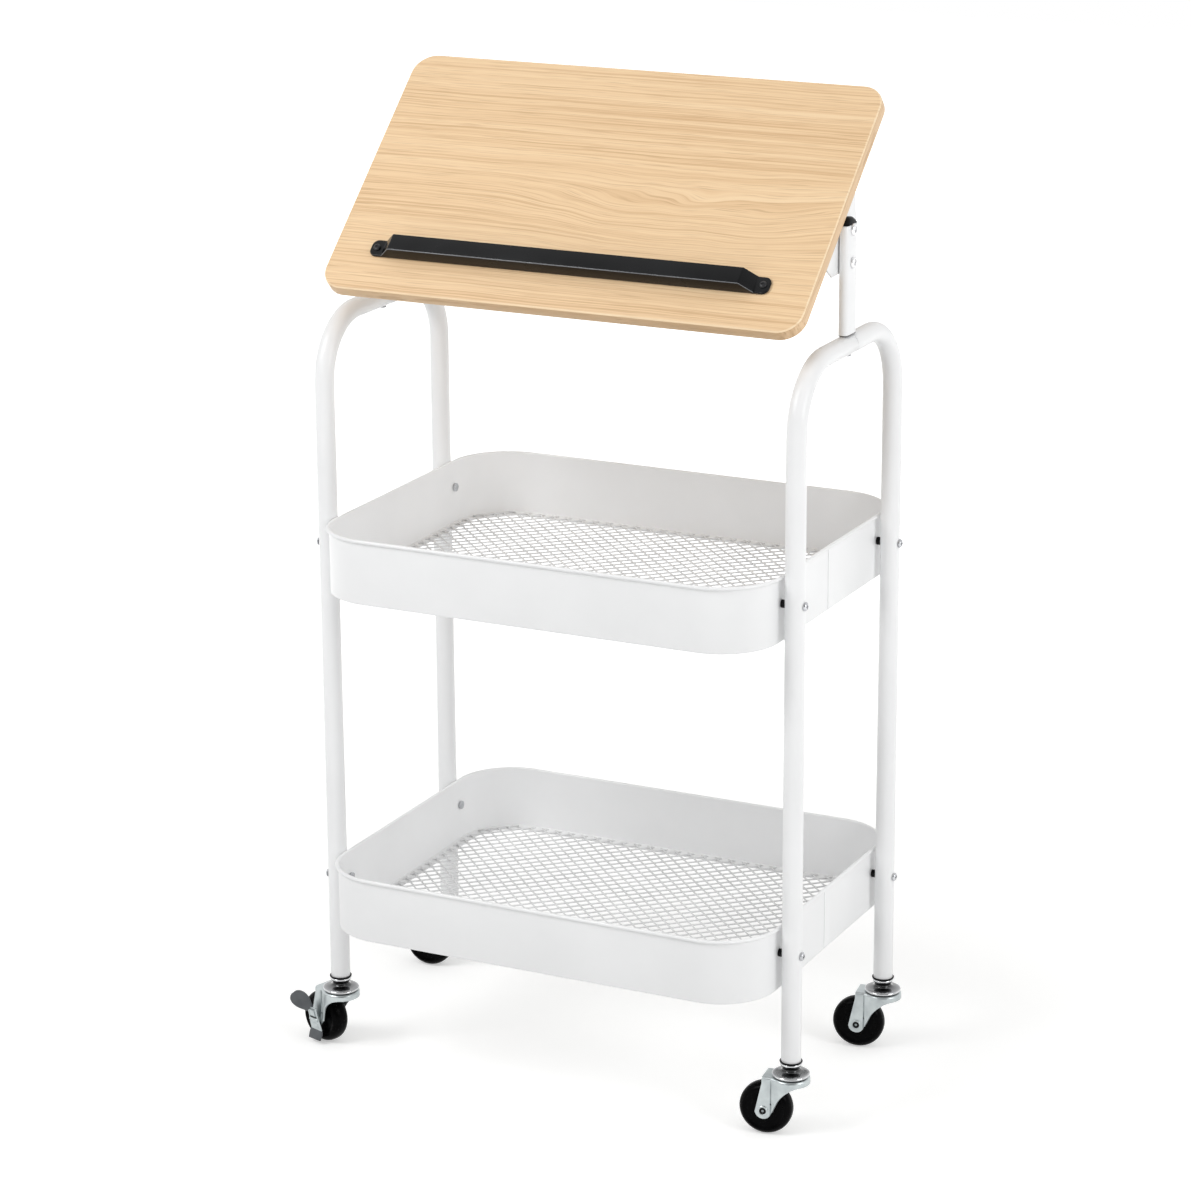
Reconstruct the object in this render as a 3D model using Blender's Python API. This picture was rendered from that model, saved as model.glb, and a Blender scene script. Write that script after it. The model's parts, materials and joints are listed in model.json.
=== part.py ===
# Rolling laptop table with a tilting wooden top, two wire-floored baskets and four swivel casters.
# Metres, +X to the table's right, +Y to its back, +Z up. The origin is on the floor, under the
# middle of the table's outline.

import bpy
import bmesh
from math import acos, atan2, cos, degrees, hypot, pi, radians, sin, sqrt, tan
from mathutils import Matrix, Vector

# Gaps and fits
CLEARANCE = 0.0003
CUT_OVERRUN = 0.002
HOLE_PLAY = 0.0003

# Side frames: two bent tubes a side, the rear one necked to plug into the front one
TUBE_RADIUS = 0.0100
TUBE_WALL = 0.0012
LEG_SPACING_Y = 0.2388
LEG_FOOT_HEIGHT = 0.079
TOP_BAR_HEIGHT = 0.778
BEND_RADIUS = 0.065
SEAM_Y = 0.006
NECK_PLUG_LENGTH = 0.026
NECK_SHOULDER_LENGTH = 0.006

# Posts: flat-oval tubes that stand on the top bars
POST_THICKNESS = 0.010
POST_DEPTH = 0.027
POST_WALL = 0.0012
POST_CAP_RISE = 0.0080
POST_CAP_SHARES = (
    (0.00, 1.00, 1.00), (0.32, 0.82, 0.93), (0.68, 0.61, 0.77), (0.92, 0.42, 0.56), (1.00, 0.27, 0.34),
)
POST_CAP_LIP = 0.0006
POST_CAP_PLUG = 0.004
POST_BOLT_RADIUS = 0.003
POST_BOLT_HEAD_RADIUS = 0.0052
POST_BOLT_HEAD_HEIGHT = 0.0028
POST_BOLT_NUT_RADIUS = 0.0034
POST_BOLT_NUT_LENGTH = 0.014

# Tilting top: the legs stand just inside its ends
TOP_WIDTH = 0.515
TOP_PAST_LEGS = 0.0015
TOP_DEPTH = 0.2945
TOP_THICKNESS = 0.0145
TOP_CORNER_RADIUS = 0.024
TOP_EDGE_ROUND = 0.0018
TOP_TILT_DEGREES = 42.6
TOP_TILT_MAX_DEGREES = 45.0
PIVOT_ABOVE_BAR = 0.113
PIVOT_BELOW_TOP = 0.0140
PIVOT_AHEAD_OF_MIDDLE = 0.0026
LOCK_SCREW_DROP = 0.032
POST_ABOVE_PIVOT = 0.0045

# Tilt brackets under the top
BRACKET_SHEET = 0.002
BRACKET_FLANGE_WIDTH = 0.024
BRACKET_FRONT_REACH = 0.052
BRACKET_BACK_REACH = 0.044
BRACKET_EDGE_DEPTH = 0.008
BRACKET_SLOT_MARGIN = 0.010
SLOT_END_MARGIN_DEGREES = 3.0
TILT_SCREW_RADIUS = 0.003
TILT_SCREW_HEAD_RADIUS = 0.0057
TILT_SCREW_HEAD_HEIGHT = 0.0026
TILT_NUT_RADIUS = 0.0050
TILT_NUT_HEIGHT = 0.0040

# Ledge that stops a laptop from sliding off
LEDGE_FROM_ENDS = 0.0425
LEDGE_FLANGE_LENGTH = 0.0145
LEDGE_RAMP_LENGTH = 0.012
LEDGE_DEPTH = 0.019
LEDGE_HEIGHT = 0.0155
LEDGE_FLANGE_HEIGHT = 0.0026
LEDGE_FLANGE_RADIUS = 0.007
LEDGE_EDGE_ROUND = 0.0012
LEDGE_FROM_FRONT = 0.040
LEDGE_SCREW_RADIUS = 0.0018
LEDGE_SCREW_HEAD_RADIUS = 0.0038
LEDGE_SCREW_HEAD_HEIGHT = 0.0020
LEDGE_SCREW_BITE = 0.009

# Baskets: a sheet-metal band with a rolled rim over a sheet of expanded metal
BASKET_OVERHANG_Y = 0.0665
BASKET_CORNER_RADIUS = 0.060
BASKET_HEIGHT = 0.0675
BASKET_SHEET = 0.001
BASKET_RIM_RADIUS = 0.002
BASKET_FLANGE_WIDTH = 0.014
BASKET_FOLD_RADIUS = 0.0015
BASKET_LAP_WIDTH = 0.014
BASKET_LAP_STEP = 0.0006
LOWER_BASKET_HEIGHT = 0.153
UPPER_BASKET_HEIGHT = 0.5105
BASKET_TO_LEG = 0.004
MESH_SHEET = 0.0014
MESH_INSET = 0.006
MESH_BORDER = 0.010
MESH_PITCH_X = 0.040
MESH_PITCH_Y = 0.040
MESH_STRAND = 0.0040
BASKET_SCREW_ABOVE_FLOOR = 0.0388
BASKET_SCREW_RADIUS = 0.002
BASKET_SCREW_HEAD_RADIUS = 0.0044
BASKET_SCREW_HEAD_HEIGHT = 0.0024
BASKET_NUT_RADIUS = 0.0044
BASKET_NUT_HEIGHT = 0.0026
SPACER_RADIUS = 0.0040

# Casters
WHEEL_RADIUS = 0.0272
WHEEL_HUB_WIDTH = 0.0216
WHEEL_FACE_WIDTH = 0.0176
WHEEL_SHOULDER_WIDTH = 0.0202
WHEEL_CROWN_WIDTH = 0.0054
WHEEL_HUB_RADIUS = 0.0080
AXLE_RADIUS = 0.0042
AXLE_HEAD_RADIUS = 0.0056
AXLE_HEAD_HEIGHT = 0.0010
CASTER_TRAIL = 0.0250
FORK_SHEET = 0.0019
FORK_CROWN_RADIUS = 0.0196
FORK_CROWN_TOP = 0.0634
FORK_RIM_DEPTH = 0.0066
FORK_LEG_END_RADIUS = 0.0086
FORK_CREASE_AHEAD = 0.0080
FORK_TAIL_REACH = 0.0015
RACE_RADIUS = 0.0188
RACE_EDGE_HEIGHT = 0.0026
RACE_DISH = 0.0018
NECK_RADIUS = 0.0088
CUP_RADIUS = 0.0106
STEM_RADIUS = 0.0042
STEM_LENGTH = 0.026
COLLAR_RADIUS = 0.0114
COLLAR_HEIGHT = 0.0016
COLLAR_PLUG_LENGTH = 0.018
SWIVEL_FRONT_LEFT_DEGREES = -18.5
SWIVEL_FRONT_RIGHT_DEGREES = 7.0
SWIVEL_BACK_LEFT_DEGREES = 0.0
SWIVEL_BACK_RIGHT_DEGREES = 9.0

# Brake on the front left caster: a strap that rocks on a pin beside the axle
BRAKE_SHEET = 0.0015
BRAKE_PIN_RADIUS = 0.0022
BRAKE_STRAP_WIDTH = 0.0165
BRAKE_STRAP_RISE = 0.0150
BRAKE_STRAP_DROP = 0.0130
BRAKE_PADDLE_WIDTH = 0.0280
BRAKE_PADDLE_RISE = 0.0290
BRAKE_PADDLE_FLARE = 0.0140
BRAKE_PADDLE_SHARES = ((0.18, 0.83), (0.50, 1.00), (0.80, 0.93), (1.00, 0.54))
BRAKE_FOOT_WIDTH = 0.0190
BRAKE_FOOT_DROP = 0.0090
BRAKE_FOOT_FLARE = 0.0060
BRAKE_FOOT_SHARES = ((1.00, 0.92), (0.40, 1.00))
BRAKE_TILT_DEGREES = 14.0

# Facets
TUBE_SIDES = 12
BEND_STEPS = 7
OVAL_END_STEPS = 5
CORNER_STEPS = 5
SCREW_SIDES = 8
CASTER_SIDES = 14
WHEEL_SIDES = 16
CROWN_STEPS = 8
AXLE_SIDES = 10

# Places worked out from the sizes above
SIDES = {"left": -1, "right": 1}
ENDS = {"front": -1, "back": 1}
LEG_X = TOP_WIDTH / 2 - TOP_PAST_LEGS
LEG_Y = LEG_SPACING_Y / 2
TUBE_BORE = TUBE_RADIUS - TUBE_WALL
NECK_TUBE_RADIUS = TUBE_BORE - CLEARANCE
TILT = radians(TOP_TILT_DEGREES)
PIVOT_HEIGHT = TOP_BAR_HEIGHT + PIVOT_ABOVE_BAR
POST_FOOT = TOP_BAR_HEIGHT + TUBE_RADIUS + CLEARANCE
POST_TOP = PIVOT_HEIGHT + POST_ABOVE_PIVOT
LEDGE_LENGTH = TOP_WIDTH - 2 * LEDGE_FROM_ENDS
LEDGE_BODY_LENGTH = LEDGE_LENGTH - 2 * (LEDGE_FLANGE_LENGTH + LEDGE_RAMP_LENGTH)
BASKET_HALF_X = LEG_X - TUBE_RADIUS - BASKET_TO_LEG
BASKET_HALF_Y = LEG_Y + BASKET_OVERHANG_Y
BASKETS = {"lower": LOWER_BASKET_HEIGHT, "upper": UPPER_BASKET_HEIGHT}
FORK_HALF_INNER = WHEEL_HUB_WIDTH / 2 + CLEARANCE
FORK_HALF_OUTER = FORK_HALF_INNER + FORK_SHEET
SWIVELS = {
    ("front", "left"): SWIVEL_FRONT_LEFT_DEGREES,
    ("front", "right"): SWIVEL_FRONT_RIGHT_DEGREES,
    ("back", "left"): SWIVEL_BACK_LEFT_DEGREES,
    ("back", "right"): SWIVEL_BACK_RIGHT_DEGREES,
}


# Scene and materials

def clear_scene():
    for item in list(bpy.data.objects):
        bpy.data.objects.remove(item, do_unlink=True)


def make_material(name, colour, roughness, metallic):
    material = bpy.data.materials.new(name)
    material.use_nodes = True
    shader = material.node_tree.nodes["Principled BSDF"]
    shader.inputs["Base Color"].default_value = (*colour, 1.0)
    shader.inputs["Roughness"].default_value = roughness
    shader.inputs["Metallic"].default_value = metallic
    material.diffuse_color = (*colour, 1.0)
    return material


def make_materials():
    return {
        "white_paint": make_material("white_paint", (0.86, 0.87, 0.88), 0.35, 0.0),
        "oak": make_material("oak", (0.75, 0.53, 0.33), 0.5, 0.0),
        "black_plastic": make_material("black_plastic", (0.02, 0.02, 0.022), 0.4, 0.0),
        "ledge_plastic": make_material("ledge_plastic", (0.03, 0.032, 0.036), 0.45, 0.0),
        "bright_steel": make_material("bright_steel", (0.62, 0.63, 0.64), 0.3, 1.0),
        "chrome": make_material("chrome", (0.75, 0.76, 0.78), 0.08, 1.0),
        "wheel_black": make_material("wheel_black", (0.015, 0.015, 0.016), 0.3, 0.0),
        "mesh_paint": make_material("mesh_paint", (0.80, 0.81, 0.82), 0.45, 0.0),
    }


# Mesh helpers

def finish_mesh(name, bm, smooth_degrees=35.0):
    bmesh.ops.remove_doubles(bm, verts=bm.verts, dist=CLEARANCE / 100)
    bmesh.ops.recalc_face_normals(bm, faces=bm.faces)
    mesh = bpy.data.meshes.new(name)
    bm.to_mesh(mesh)
    bm.free()
    mesh.shade_smooth()
    mesh.set_sharp_from_angle(angle=radians(smooth_degrees))
    return mesh


def add_object(name, mesh, material, parent=None, location=(0, 0, 0), rotation=(0, 0, 0)):
    item = bpy.data.objects.new(name, mesh)
    bpy.context.scene.collection.objects.link(item)
    if material is not None:
        item.data.materials.clear()
        item.data.materials.append(material)
    item.parent = parent
    item.location = location
    item.rotation_euler = rotation
    return item


def add_empty(name, parent=None, location=(0, 0, 0), rotation=(0, 0, 0)):
    return add_object(name, None, None, parent, location, rotation)


def make_cutter(name, mesh, location=(0, 0, 0), rotation=(0, 0, 0)):
    cutter = add_object(name, mesh, None, None, location, rotation)
    cutter.hide_render = True
    cutter.display_type = "WIRE"
    return cutter


def cut_mesh(name, mesh, steps):
    """Runs Booleans on a mesh: each step is an operation and a cutter object."""
    item = add_object(name, mesh, None)
    for operation, cutter in steps:
        modifier = item.modifiers.new(cutter.name, "BOOLEAN")
        modifier.operation = operation
        modifier.object = cutter
    bpy.context.view_layer.update()
    graph = bpy.context.evaluated_depsgraph_get()
    result = bpy.data.meshes.new_from_object(item.evaluated_get(graph))
    result.name = name
    bpy.data.objects.remove(item, do_unlink=True)
    for _, cutter in steps:
        if cutter.name in bpy.data.objects:
            bpy.data.objects.remove(cutter, do_unlink=True)
    return result


def join_rings(bm, rings, closed):
    """Skins a row of rings of points with quads; an open row gets flat ends."""
    rows = [[bm.verts.new(point) for point in ring] for ring in rings]
    count = len(rows[0])
    last = len(rows) if closed else len(rows) - 1
    for index in range(last):
        row = rows[index]
        following = rows[(index + 1) % len(rows)]
        for k in range(count):
            nearby = (k + 1) % count
            bm.faces.new((row[k], row[nearby], following[nearby], following[k]))
    if not closed:
        bm.faces.new(rows[0])
        bm.faces.new(rows[-1])


def turned_mesh(name, profile, sides, axis="Z", closed=False, flat_to_flat=False):
    """Spins a profile of (radius, height) about an axis; flat_to_flat grows it so that the
    middles of the facets, not their corners, lie on the given radii."""
    growth = 1 / cos(pi / sides) if flat_to_flat else 1.0
    bm = bmesh.new()
    verts = [bm.verts.new((radius * growth, 0, height)) for radius, height in profile]
    edges = [bm.edges.new(pair) for pair in zip(verts, verts[1:])]
    if closed:
        edges.append(bm.edges.new((verts[-1], verts[0])))
    bmesh.ops.rotate(bm, verts=verts, cent=(0, 0, 0), matrix=Matrix.Rotation(pi / sides, 3, "Z"))
    bmesh.ops.spin(
        bm, geom=verts + edges, cent=(0, 0, 0), axis=(0, 0, 1), dvec=(0, 0, 0),
        angle=2 * pi, steps=sides, use_merge=True, use_duplicate=False,
    )
    turns = {"Z": Matrix.Identity(3), "X": Matrix.Rotation(pi / 2, 3, "Y"),
             "Y": Matrix.Rotation(-pi / 2, 3, "X")}
    bmesh.ops.transform(bm, matrix=turns[axis].to_4x4(), verts=bm.verts)
    return finish_mesh(name, bm)


def prism_mesh(name, outline, low, high, axis="Z"):
    """Extrudes a flat outline from low to high along an axis. An X prism reads the outline as
    (y, z) and a Y prism as (x, z)."""
    place = {
        "X": lambda p, h: (h, p[0], p[1]),
        "Y": lambda p, h: (p[0], h, p[1]),
        "Z": lambda p, h: (p[0], p[1], h),
    }[axis]
    bm = bmesh.new()
    face = bm.faces.new([bm.verts.new(place(point, low)) for point in outline])
    grown = bmesh.ops.extrude_face_region(bm, geom=[face])
    moved = [item for item in grown["geom"] if isinstance(item, bmesh.types.BMVert)]
    travel = Vector(place((0, 0), high)) - Vector(place((0, 0), low))
    bmesh.ops.translate(bm, vec=travel, verts=moved)
    return finish_mesh(name, bm)


def rod_cutter(name, radius, low, high, axis, location=(0, 0, 0), sides=SCREW_SIDES):
    profile = [(0, low), (radius, low), (radius, high), (0, high)]
    return make_cutter(name, turned_mesh(name, profile, sides, axis), location)


def arc_points(centre, radius, start, end, steps):
    return [
        (centre[0] + radius * cos(start + (end - start) * k / steps),
         centre[1] + radius * sin(start + (end - start) * k / steps))
        for k in range(steps + 1)
    ]


def oval_outline(thickness, depth, steps=OVAL_END_STEPS):
    """A flat oval in X and Y, its round ends towards the front and back."""
    radius = thickness / 2
    reach = depth / 2 - radius
    back = arc_points((0, reach), radius, 0, pi, steps)
    front = arc_points((0, -reach), radius, pi, 2 * pi, steps)
    return back + front


def rounded_rectangle(half_x, half_y, radius, steps=CORNER_STEPS):
    corners = [(1, 1, 0), (-1, 1, 1), (-1, -1, 2), (1, -1, 3)]
    points = []
    for side_x, side_y, quarter in corners:
        centre = (side_x * (half_x - radius), side_y * (half_y - radius))
        start = quarter * pi / 2
        points += arc_points(centre, radius, start, start + pi / 2, steps)
    return points


# Side frames

def tube_ring(centre_y, centre_z, heading, radius):
    """A ring square to a path in the Y-Z plane that runs at the given heading from +Y."""
    ring = []
    for k in range(TUBE_SIDES):
        angle = 2 * pi * (k + 0.5) / TUBE_SIDES
        across = radius * cos(angle)
        inward = radius * sin(angle)
        ring.append((across, centre_y - inward * sin(heading), centre_z + inward * cos(heading)))
    return ring


def bent_tube_path(end_y):
    """Stations of the front half: up the leg, round the bend and back along the top bar."""
    bend_y = -LEG_Y + BEND_RADIUS
    bend_z = TOP_BAR_HEIGHT - BEND_RADIUS
    stations = [(-LEG_Y, LEG_FOOT_HEIGHT, pi / 2)]
    for k in range(BEND_STEPS + 1):
        turned = pi / 2 * k / BEND_STEPS
        stations.append((bend_y - BEND_RADIUS * cos(turned), bend_z + BEND_RADIUS * sin(turned),
                         pi / 2 - turned))
    stations.append((end_y, TOP_BAR_HEIGHT, 0.0))
    return stations


def front_tube_mesh():
    stations = bent_tube_path(SEAM_Y)
    rings = [tube_ring(y, z, heading, TUBE_RADIUS) for y, z, heading in stations]
    rings += [tube_ring(y, z, heading, TUBE_BORE) for y, z, heading in reversed(stations)]
    bm = bmesh.new()
    join_rings(bm, rings, closed=True)
    return finish_mesh("front_tube", bm)


def back_tube_mesh():
    """The rear half is built as a front half and then mirrored, with a neck at its end."""
    shoulder_y = -LEG_Y + BEND_RADIUS + NECK_SHOULDER_LENGTH
    neck_end_y = NECK_PLUG_LENGTH - SEAM_Y
    stations = bent_tube_path(shoulder_y - NECK_SHOULDER_LENGTH / 2)
    neck = [(shoulder_y + NECK_SHOULDER_LENGTH / 2, TOP_BAR_HEIGHT, 0.0),
            (neck_end_y, TOP_BAR_HEIGHT, 0.0)]
    rings = [tube_ring(y, z, heading, TUBE_RADIUS) for y, z, heading in stations]
    rings += [tube_ring(y, z, heading, NECK_TUBE_RADIUS) for y, z, heading in neck]
    bore = NECK_TUBE_RADIUS - TUBE_WALL
    rings += [tube_ring(y, z, heading, bore) for y, z, heading in reversed(neck)]
    rings += [tube_ring(y, z, heading, TUBE_BORE) for y, z, heading in reversed(stations)]
    bm = bmesh.new()
    join_rings(bm, rings, closed=True)
    bmesh.ops.scale(bm, vec=(1, -1, 1), verts=bm.verts)
    return finish_mesh("back_tube", bm)


def leg_hole_cutters(end_y):
    radius = BASKET_SCREW_RADIUS + HOLE_PLAY
    reach = TUBE_RADIUS + CUT_OVERRUN
    cutters = []
    for name, height in BASKETS.items():
        place = (0, end_y, height + BASKET_SCREW_ABOVE_FLOOR)
        cutters.append(("DIFFERENCE", rod_cutter(name + "_hole", radius, -reach, reach, "X", place)))
    return cutters


def post_bolt_cutter():
    radius = POST_BOLT_RADIUS + HOLE_PLAY
    reach = TUBE_RADIUS + CUT_OVERRUN
    return ("DIFFERENCE", rod_cutter("post_bolt_hole", radius, -reach, reach, "Z",
                                     (0, 0, TOP_BAR_HEIGHT)))


def build_side_frames(root, materials):
    for end, mesh in (("front", front_tube_mesh()), ("back", back_tube_mesh())):
        cutters = leg_hole_cutters(ENDS[end] * LEG_Y) + [post_bolt_cutter()]
        drilled = cut_mesh(end + "_tube_drilled", mesh, cutters)
        for side, sign in SIDES.items():
            add_object(f"side_frame_{end}_{side}", drilled, materials["white_paint"], root,
                       (sign * LEG_X, 0, 0))


# Posts

def post_mesh():
    outer = oval_outline(POST_THICKNESS, POST_DEPTH)
    inner = oval_outline(POST_THICKNESS - 2 * POST_WALL, POST_DEPTH - 2 * POST_WALL)
    rings = []
    for outline, height in ((outer, POST_FOOT), (outer, POST_TOP), (inner, POST_TOP),
                            (inner, POST_FOOT)):
        rings.append([(x, y, height) for x, y in outline])
    bm = bmesh.new()
    join_rings(bm, rings, closed=True)
    mesh = finish_mesh("post", bm)
    radius = TILT_SCREW_RADIUS + HOLE_PLAY
    reach = POST_THICKNESS / 2 + CUT_OVERRUN
    cutters = []
    for name, height in (("pivot", PIVOT_HEIGHT), ("lock", PIVOT_HEIGHT - LOCK_SCREW_DROP)):
        cutters.append(("DIFFERENCE", rod_cutter(name + "_hole", radius, -reach, reach, "X",
                                                 (0, 0, height))))
    return cut_mesh("post_drilled", mesh, cutters)


def post_cap_mesh():
    """A domed plug: an oval plug notched for the pivot screw, a lip on its end and a rounded top."""
    seat = POST_TOP + CLEARANCE
    lip_thickness = POST_THICKNESS
    lip_depth = POST_DEPTH + 2 * POST_CAP_LIP
    plug_thickness = POST_THICKNESS - 2 * (POST_WALL + CLEARANCE)
    plug_depth = POST_DEPTH - 2 * (POST_WALL + CLEARANCE)
    rings = []
    for height in (POST_TOP - POST_CAP_PLUG, seat):
        rings.append([(x, y, height) for x, y in oval_outline(plug_thickness, plug_depth)])
    for rise, depth_share, thickness_share in POST_CAP_SHARES:
        outline = oval_outline(lip_thickness * thickness_share, lip_depth * depth_share)
        rings.append([(x, y, seat + POST_CAP_RISE * rise) for x, y in outline])
    bm = bmesh.new()
    join_rings(bm, rings, closed=False)
    mesh = finish_mesh("post_cap", bm)
    reach = POST_THICKNESS / 2 + CUT_OVERRUN
    notch = rod_cutter("cap_notch", TILT_SCREW_RADIUS + HOLE_PLAY, -reach, reach, "X",
                       (0, 0, PIVOT_HEIGHT))
    return cut_mesh("post_cap_notched", mesh, [("DIFFERENCE", notch)])


def post_bolt_mesh():
    """Head under the top bar, shank through it, nut inside the post; the origin is the bar's axis."""
    head_top = -TUBE_RADIUS - CLEARANCE
    nut_base = TUBE_RADIUS + CLEARANCE + POST_WALL
    profile = [
        (0, head_top - POST_BOLT_HEAD_HEIGHT),
        (POST_BOLT_HEAD_RADIUS * 0.7, head_top - POST_BOLT_HEAD_HEIGHT),
        (POST_BOLT_HEAD_RADIUS, head_top - POST_BOLT_HEAD_HEIGHT / 2),
        (POST_BOLT_HEAD_RADIUS, head_top),
        (POST_BOLT_RADIUS, head_top),
        (POST_BOLT_RADIUS, nut_base),
        (POST_BOLT_NUT_RADIUS, nut_base),
        (POST_BOLT_NUT_RADIUS, nut_base + POST_BOLT_NUT_LENGTH),
        (0, nut_base + POST_BOLT_NUT_LENGTH),
    ]
    return turned_mesh("post_bolt", profile, SCREW_SIDES)


def build_posts(root, materials):
    post = post_mesh()
    cap = post_cap_mesh()
    bolt = post_bolt_mesh()
    for side, sign in SIDES.items():
        place = (sign * LEG_X, 0, 0)
        add_object("post_" + side, post, materials["white_paint"], root, place)
        add_object("post_cap_" + side, cap, materials["black_plastic"], root, place)
        add_object("post_bolt_" + side, bolt, materials["bright_steel"], root,
                   (sign * LEG_X, 0, TOP_BAR_HEIGHT))


# Tilting top. Its own frame has the hinge axis at the origin, +Y up the slope and +Z out of the
# wood, and is turned about X by the tilt.

def top_underside():
    return PIVOT_BELOW_TOP


def tabletop_mesh():
    half_x = TOP_WIDTH / 2
    half_y = TOP_DEPTH / 2
    outline = rounded_rectangle(half_x, half_y, TOP_CORNER_RADIUS)
    outline = [(x, y + PIVOT_AHEAD_OF_MIDDLE) for x, y in outline]
    low = top_underside()
    high = low + TOP_THICKNESS
    rounding = TOP_EDGE_ROUND
    bm = bmesh.new()
    rings = []
    for inset, height in ((rounding, low), (0, low + rounding), (0, high - rounding),
                          (rounding, high)):
        shrink_x = (half_x - inset) / half_x
        shrink_y = (half_y - inset) / half_y
        rings.append([(x * shrink_x, (y - PIVOT_AHEAD_OF_MIDDLE) * shrink_y + PIVOT_AHEAD_OF_MIDDLE,
                       height) for x, y in outline])
    join_rings(bm, rings, closed=False)
    mesh = finish_mesh("tabletop", bm)
    cutters = []
    for side, sign in SIDES.items():
        place = (sign * ledge_screw_x(), ledge_middle_y(), high)
        radius = LEDGE_SCREW_RADIUS + HOLE_PLAY
        depth = LEDGE_SCREW_BITE + CLEARANCE
        cutters.append(("DIFFERENCE", rod_cutter("top_hole_" + side, radius, -depth, CUT_OVERRUN,
                                                 "Z", place)))
    return cut_mesh("tabletop_drilled", mesh, cutters)


def ledge_middle_y():
    return PIVOT_AHEAD_OF_MIDDLE - TOP_DEPTH / 2 + LEDGE_FROM_FRONT + LEDGE_DEPTH / 2


def ledge_screw_x():
    return LEDGE_LENGTH / 2 - LEDGE_FLANGE_RADIUS


def ledge_mesh():
    """A bar with ramps down to a flat, screwed flange at each end; its origin is on the wood."""
    half = LEDGE_LENGTH / 2
    body = LEDGE_BODY_LENGTH / 2
    ramp_foot = body + LEDGE_RAMP_LENGTH
    side_outline = [
        (-half, 0), (half, 0), (half, LEDGE_FLANGE_HEIGHT), (ramp_foot, LEDGE_FLANGE_HEIGHT),
        (body, LEDGE_HEIGHT), (-body, LEDGE_HEIGHT), (-ramp_foot, LEDGE_FLANGE_HEIGHT),
        (-half, LEDGE_FLANGE_HEIGHT),
    ]
    half_depth = LEDGE_DEPTH / 2
    mesh = prism_mesh("ledge", side_outline, -half_depth, half_depth, "Y")
    plan = rounded_rectangle(half, half_depth, LEDGE_FLANGE_RADIUS, 4)
    steps = [("INTERSECT", make_cutter("ledge_plan", prism_mesh(
        "ledge_plan", plan, -CUT_OVERRUN, LEDGE_HEIGHT + CUT_OVERRUN)))]
    radius = LEDGE_SCREW_RADIUS + HOLE_PLAY
    for side, sign in SIDES.items():
        place = (sign * ledge_screw_x(), 0, 0)
        steps.append(("DIFFERENCE", rod_cutter("ledge_hole_" + side, radius, -CUT_OVERRUN,
                                               LEDGE_FLANGE_HEIGHT + CUT_OVERRUN, "Z", place)))
    return cut_mesh("ledge_cut", mesh, steps)


def pan_head_profile(head_radius, head_height, shank_radius, shank_length):
    """A pan head over the origin plane, with its shank running down from it."""
    return [
        (0, -shank_length), (shank_radius, -shank_length), (shank_radius, 0), (head_radius, 0),
        (head_radius, head_height * 0.45), (head_radius * 0.72, head_height), (0, head_height),
    ]


def bracket_outline():
    """The ear seen from its side, as (up the slope, out of the wood) from the hinge axis."""
    top = top_underside() - CLEARANCE
    front = -BRACKET_FRONT_REACH
    back = BRACKET_BACK_REACH
    reach = LOCK_SCREW_DROP + BRACKET_SLOT_MARGIN
    first = -pi / 2 - radians(TOP_TILT_MAX_DEGREES + SLOT_END_MARGIN_DEGREES) + radians(8)
    last = -pi / 2 + radians(14)
    arc = arc_points((0, 0), reach, first, last, 6)
    edge = top - BRACKET_EDGE_DEPTH
    nose = (front + BRACKET_EDGE_DEPTH / 2, -LOCK_SCREW_DROP * 0.45)
    return [(front, top), (front, edge), nose] + arc + [(back, edge), (back, top)]


def slot_outline():
    first = -pi / 2 - radians(TOP_TILT_MAX_DEGREES + SLOT_END_MARGIN_DEGREES)
    last = -pi / 2 + radians(SLOT_END_MARGIN_DEGREES)
    half = TILT_SCREW_RADIUS + HOLE_PLAY
    outer = arc_points((0, 0), LOCK_SCREW_DROP + half, first, last, 7)
    inner = arc_points((0, 0), LOCK_SCREW_DROP - half, last, first, 7)
    far_centre = (LOCK_SCREW_DROP * cos(last), LOCK_SCREW_DROP * sin(last))
    near_centre = (LOCK_SCREW_DROP * cos(first), LOCK_SCREW_DROP * sin(first))
    far_end = arc_points(far_centre, half, last, last + pi, 4)[1:-1]
    near_end = arc_points(near_centre, half, first + pi, first + 2 * pi, 4)[1:-1]
    return outer + far_end + inner + near_end


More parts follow.
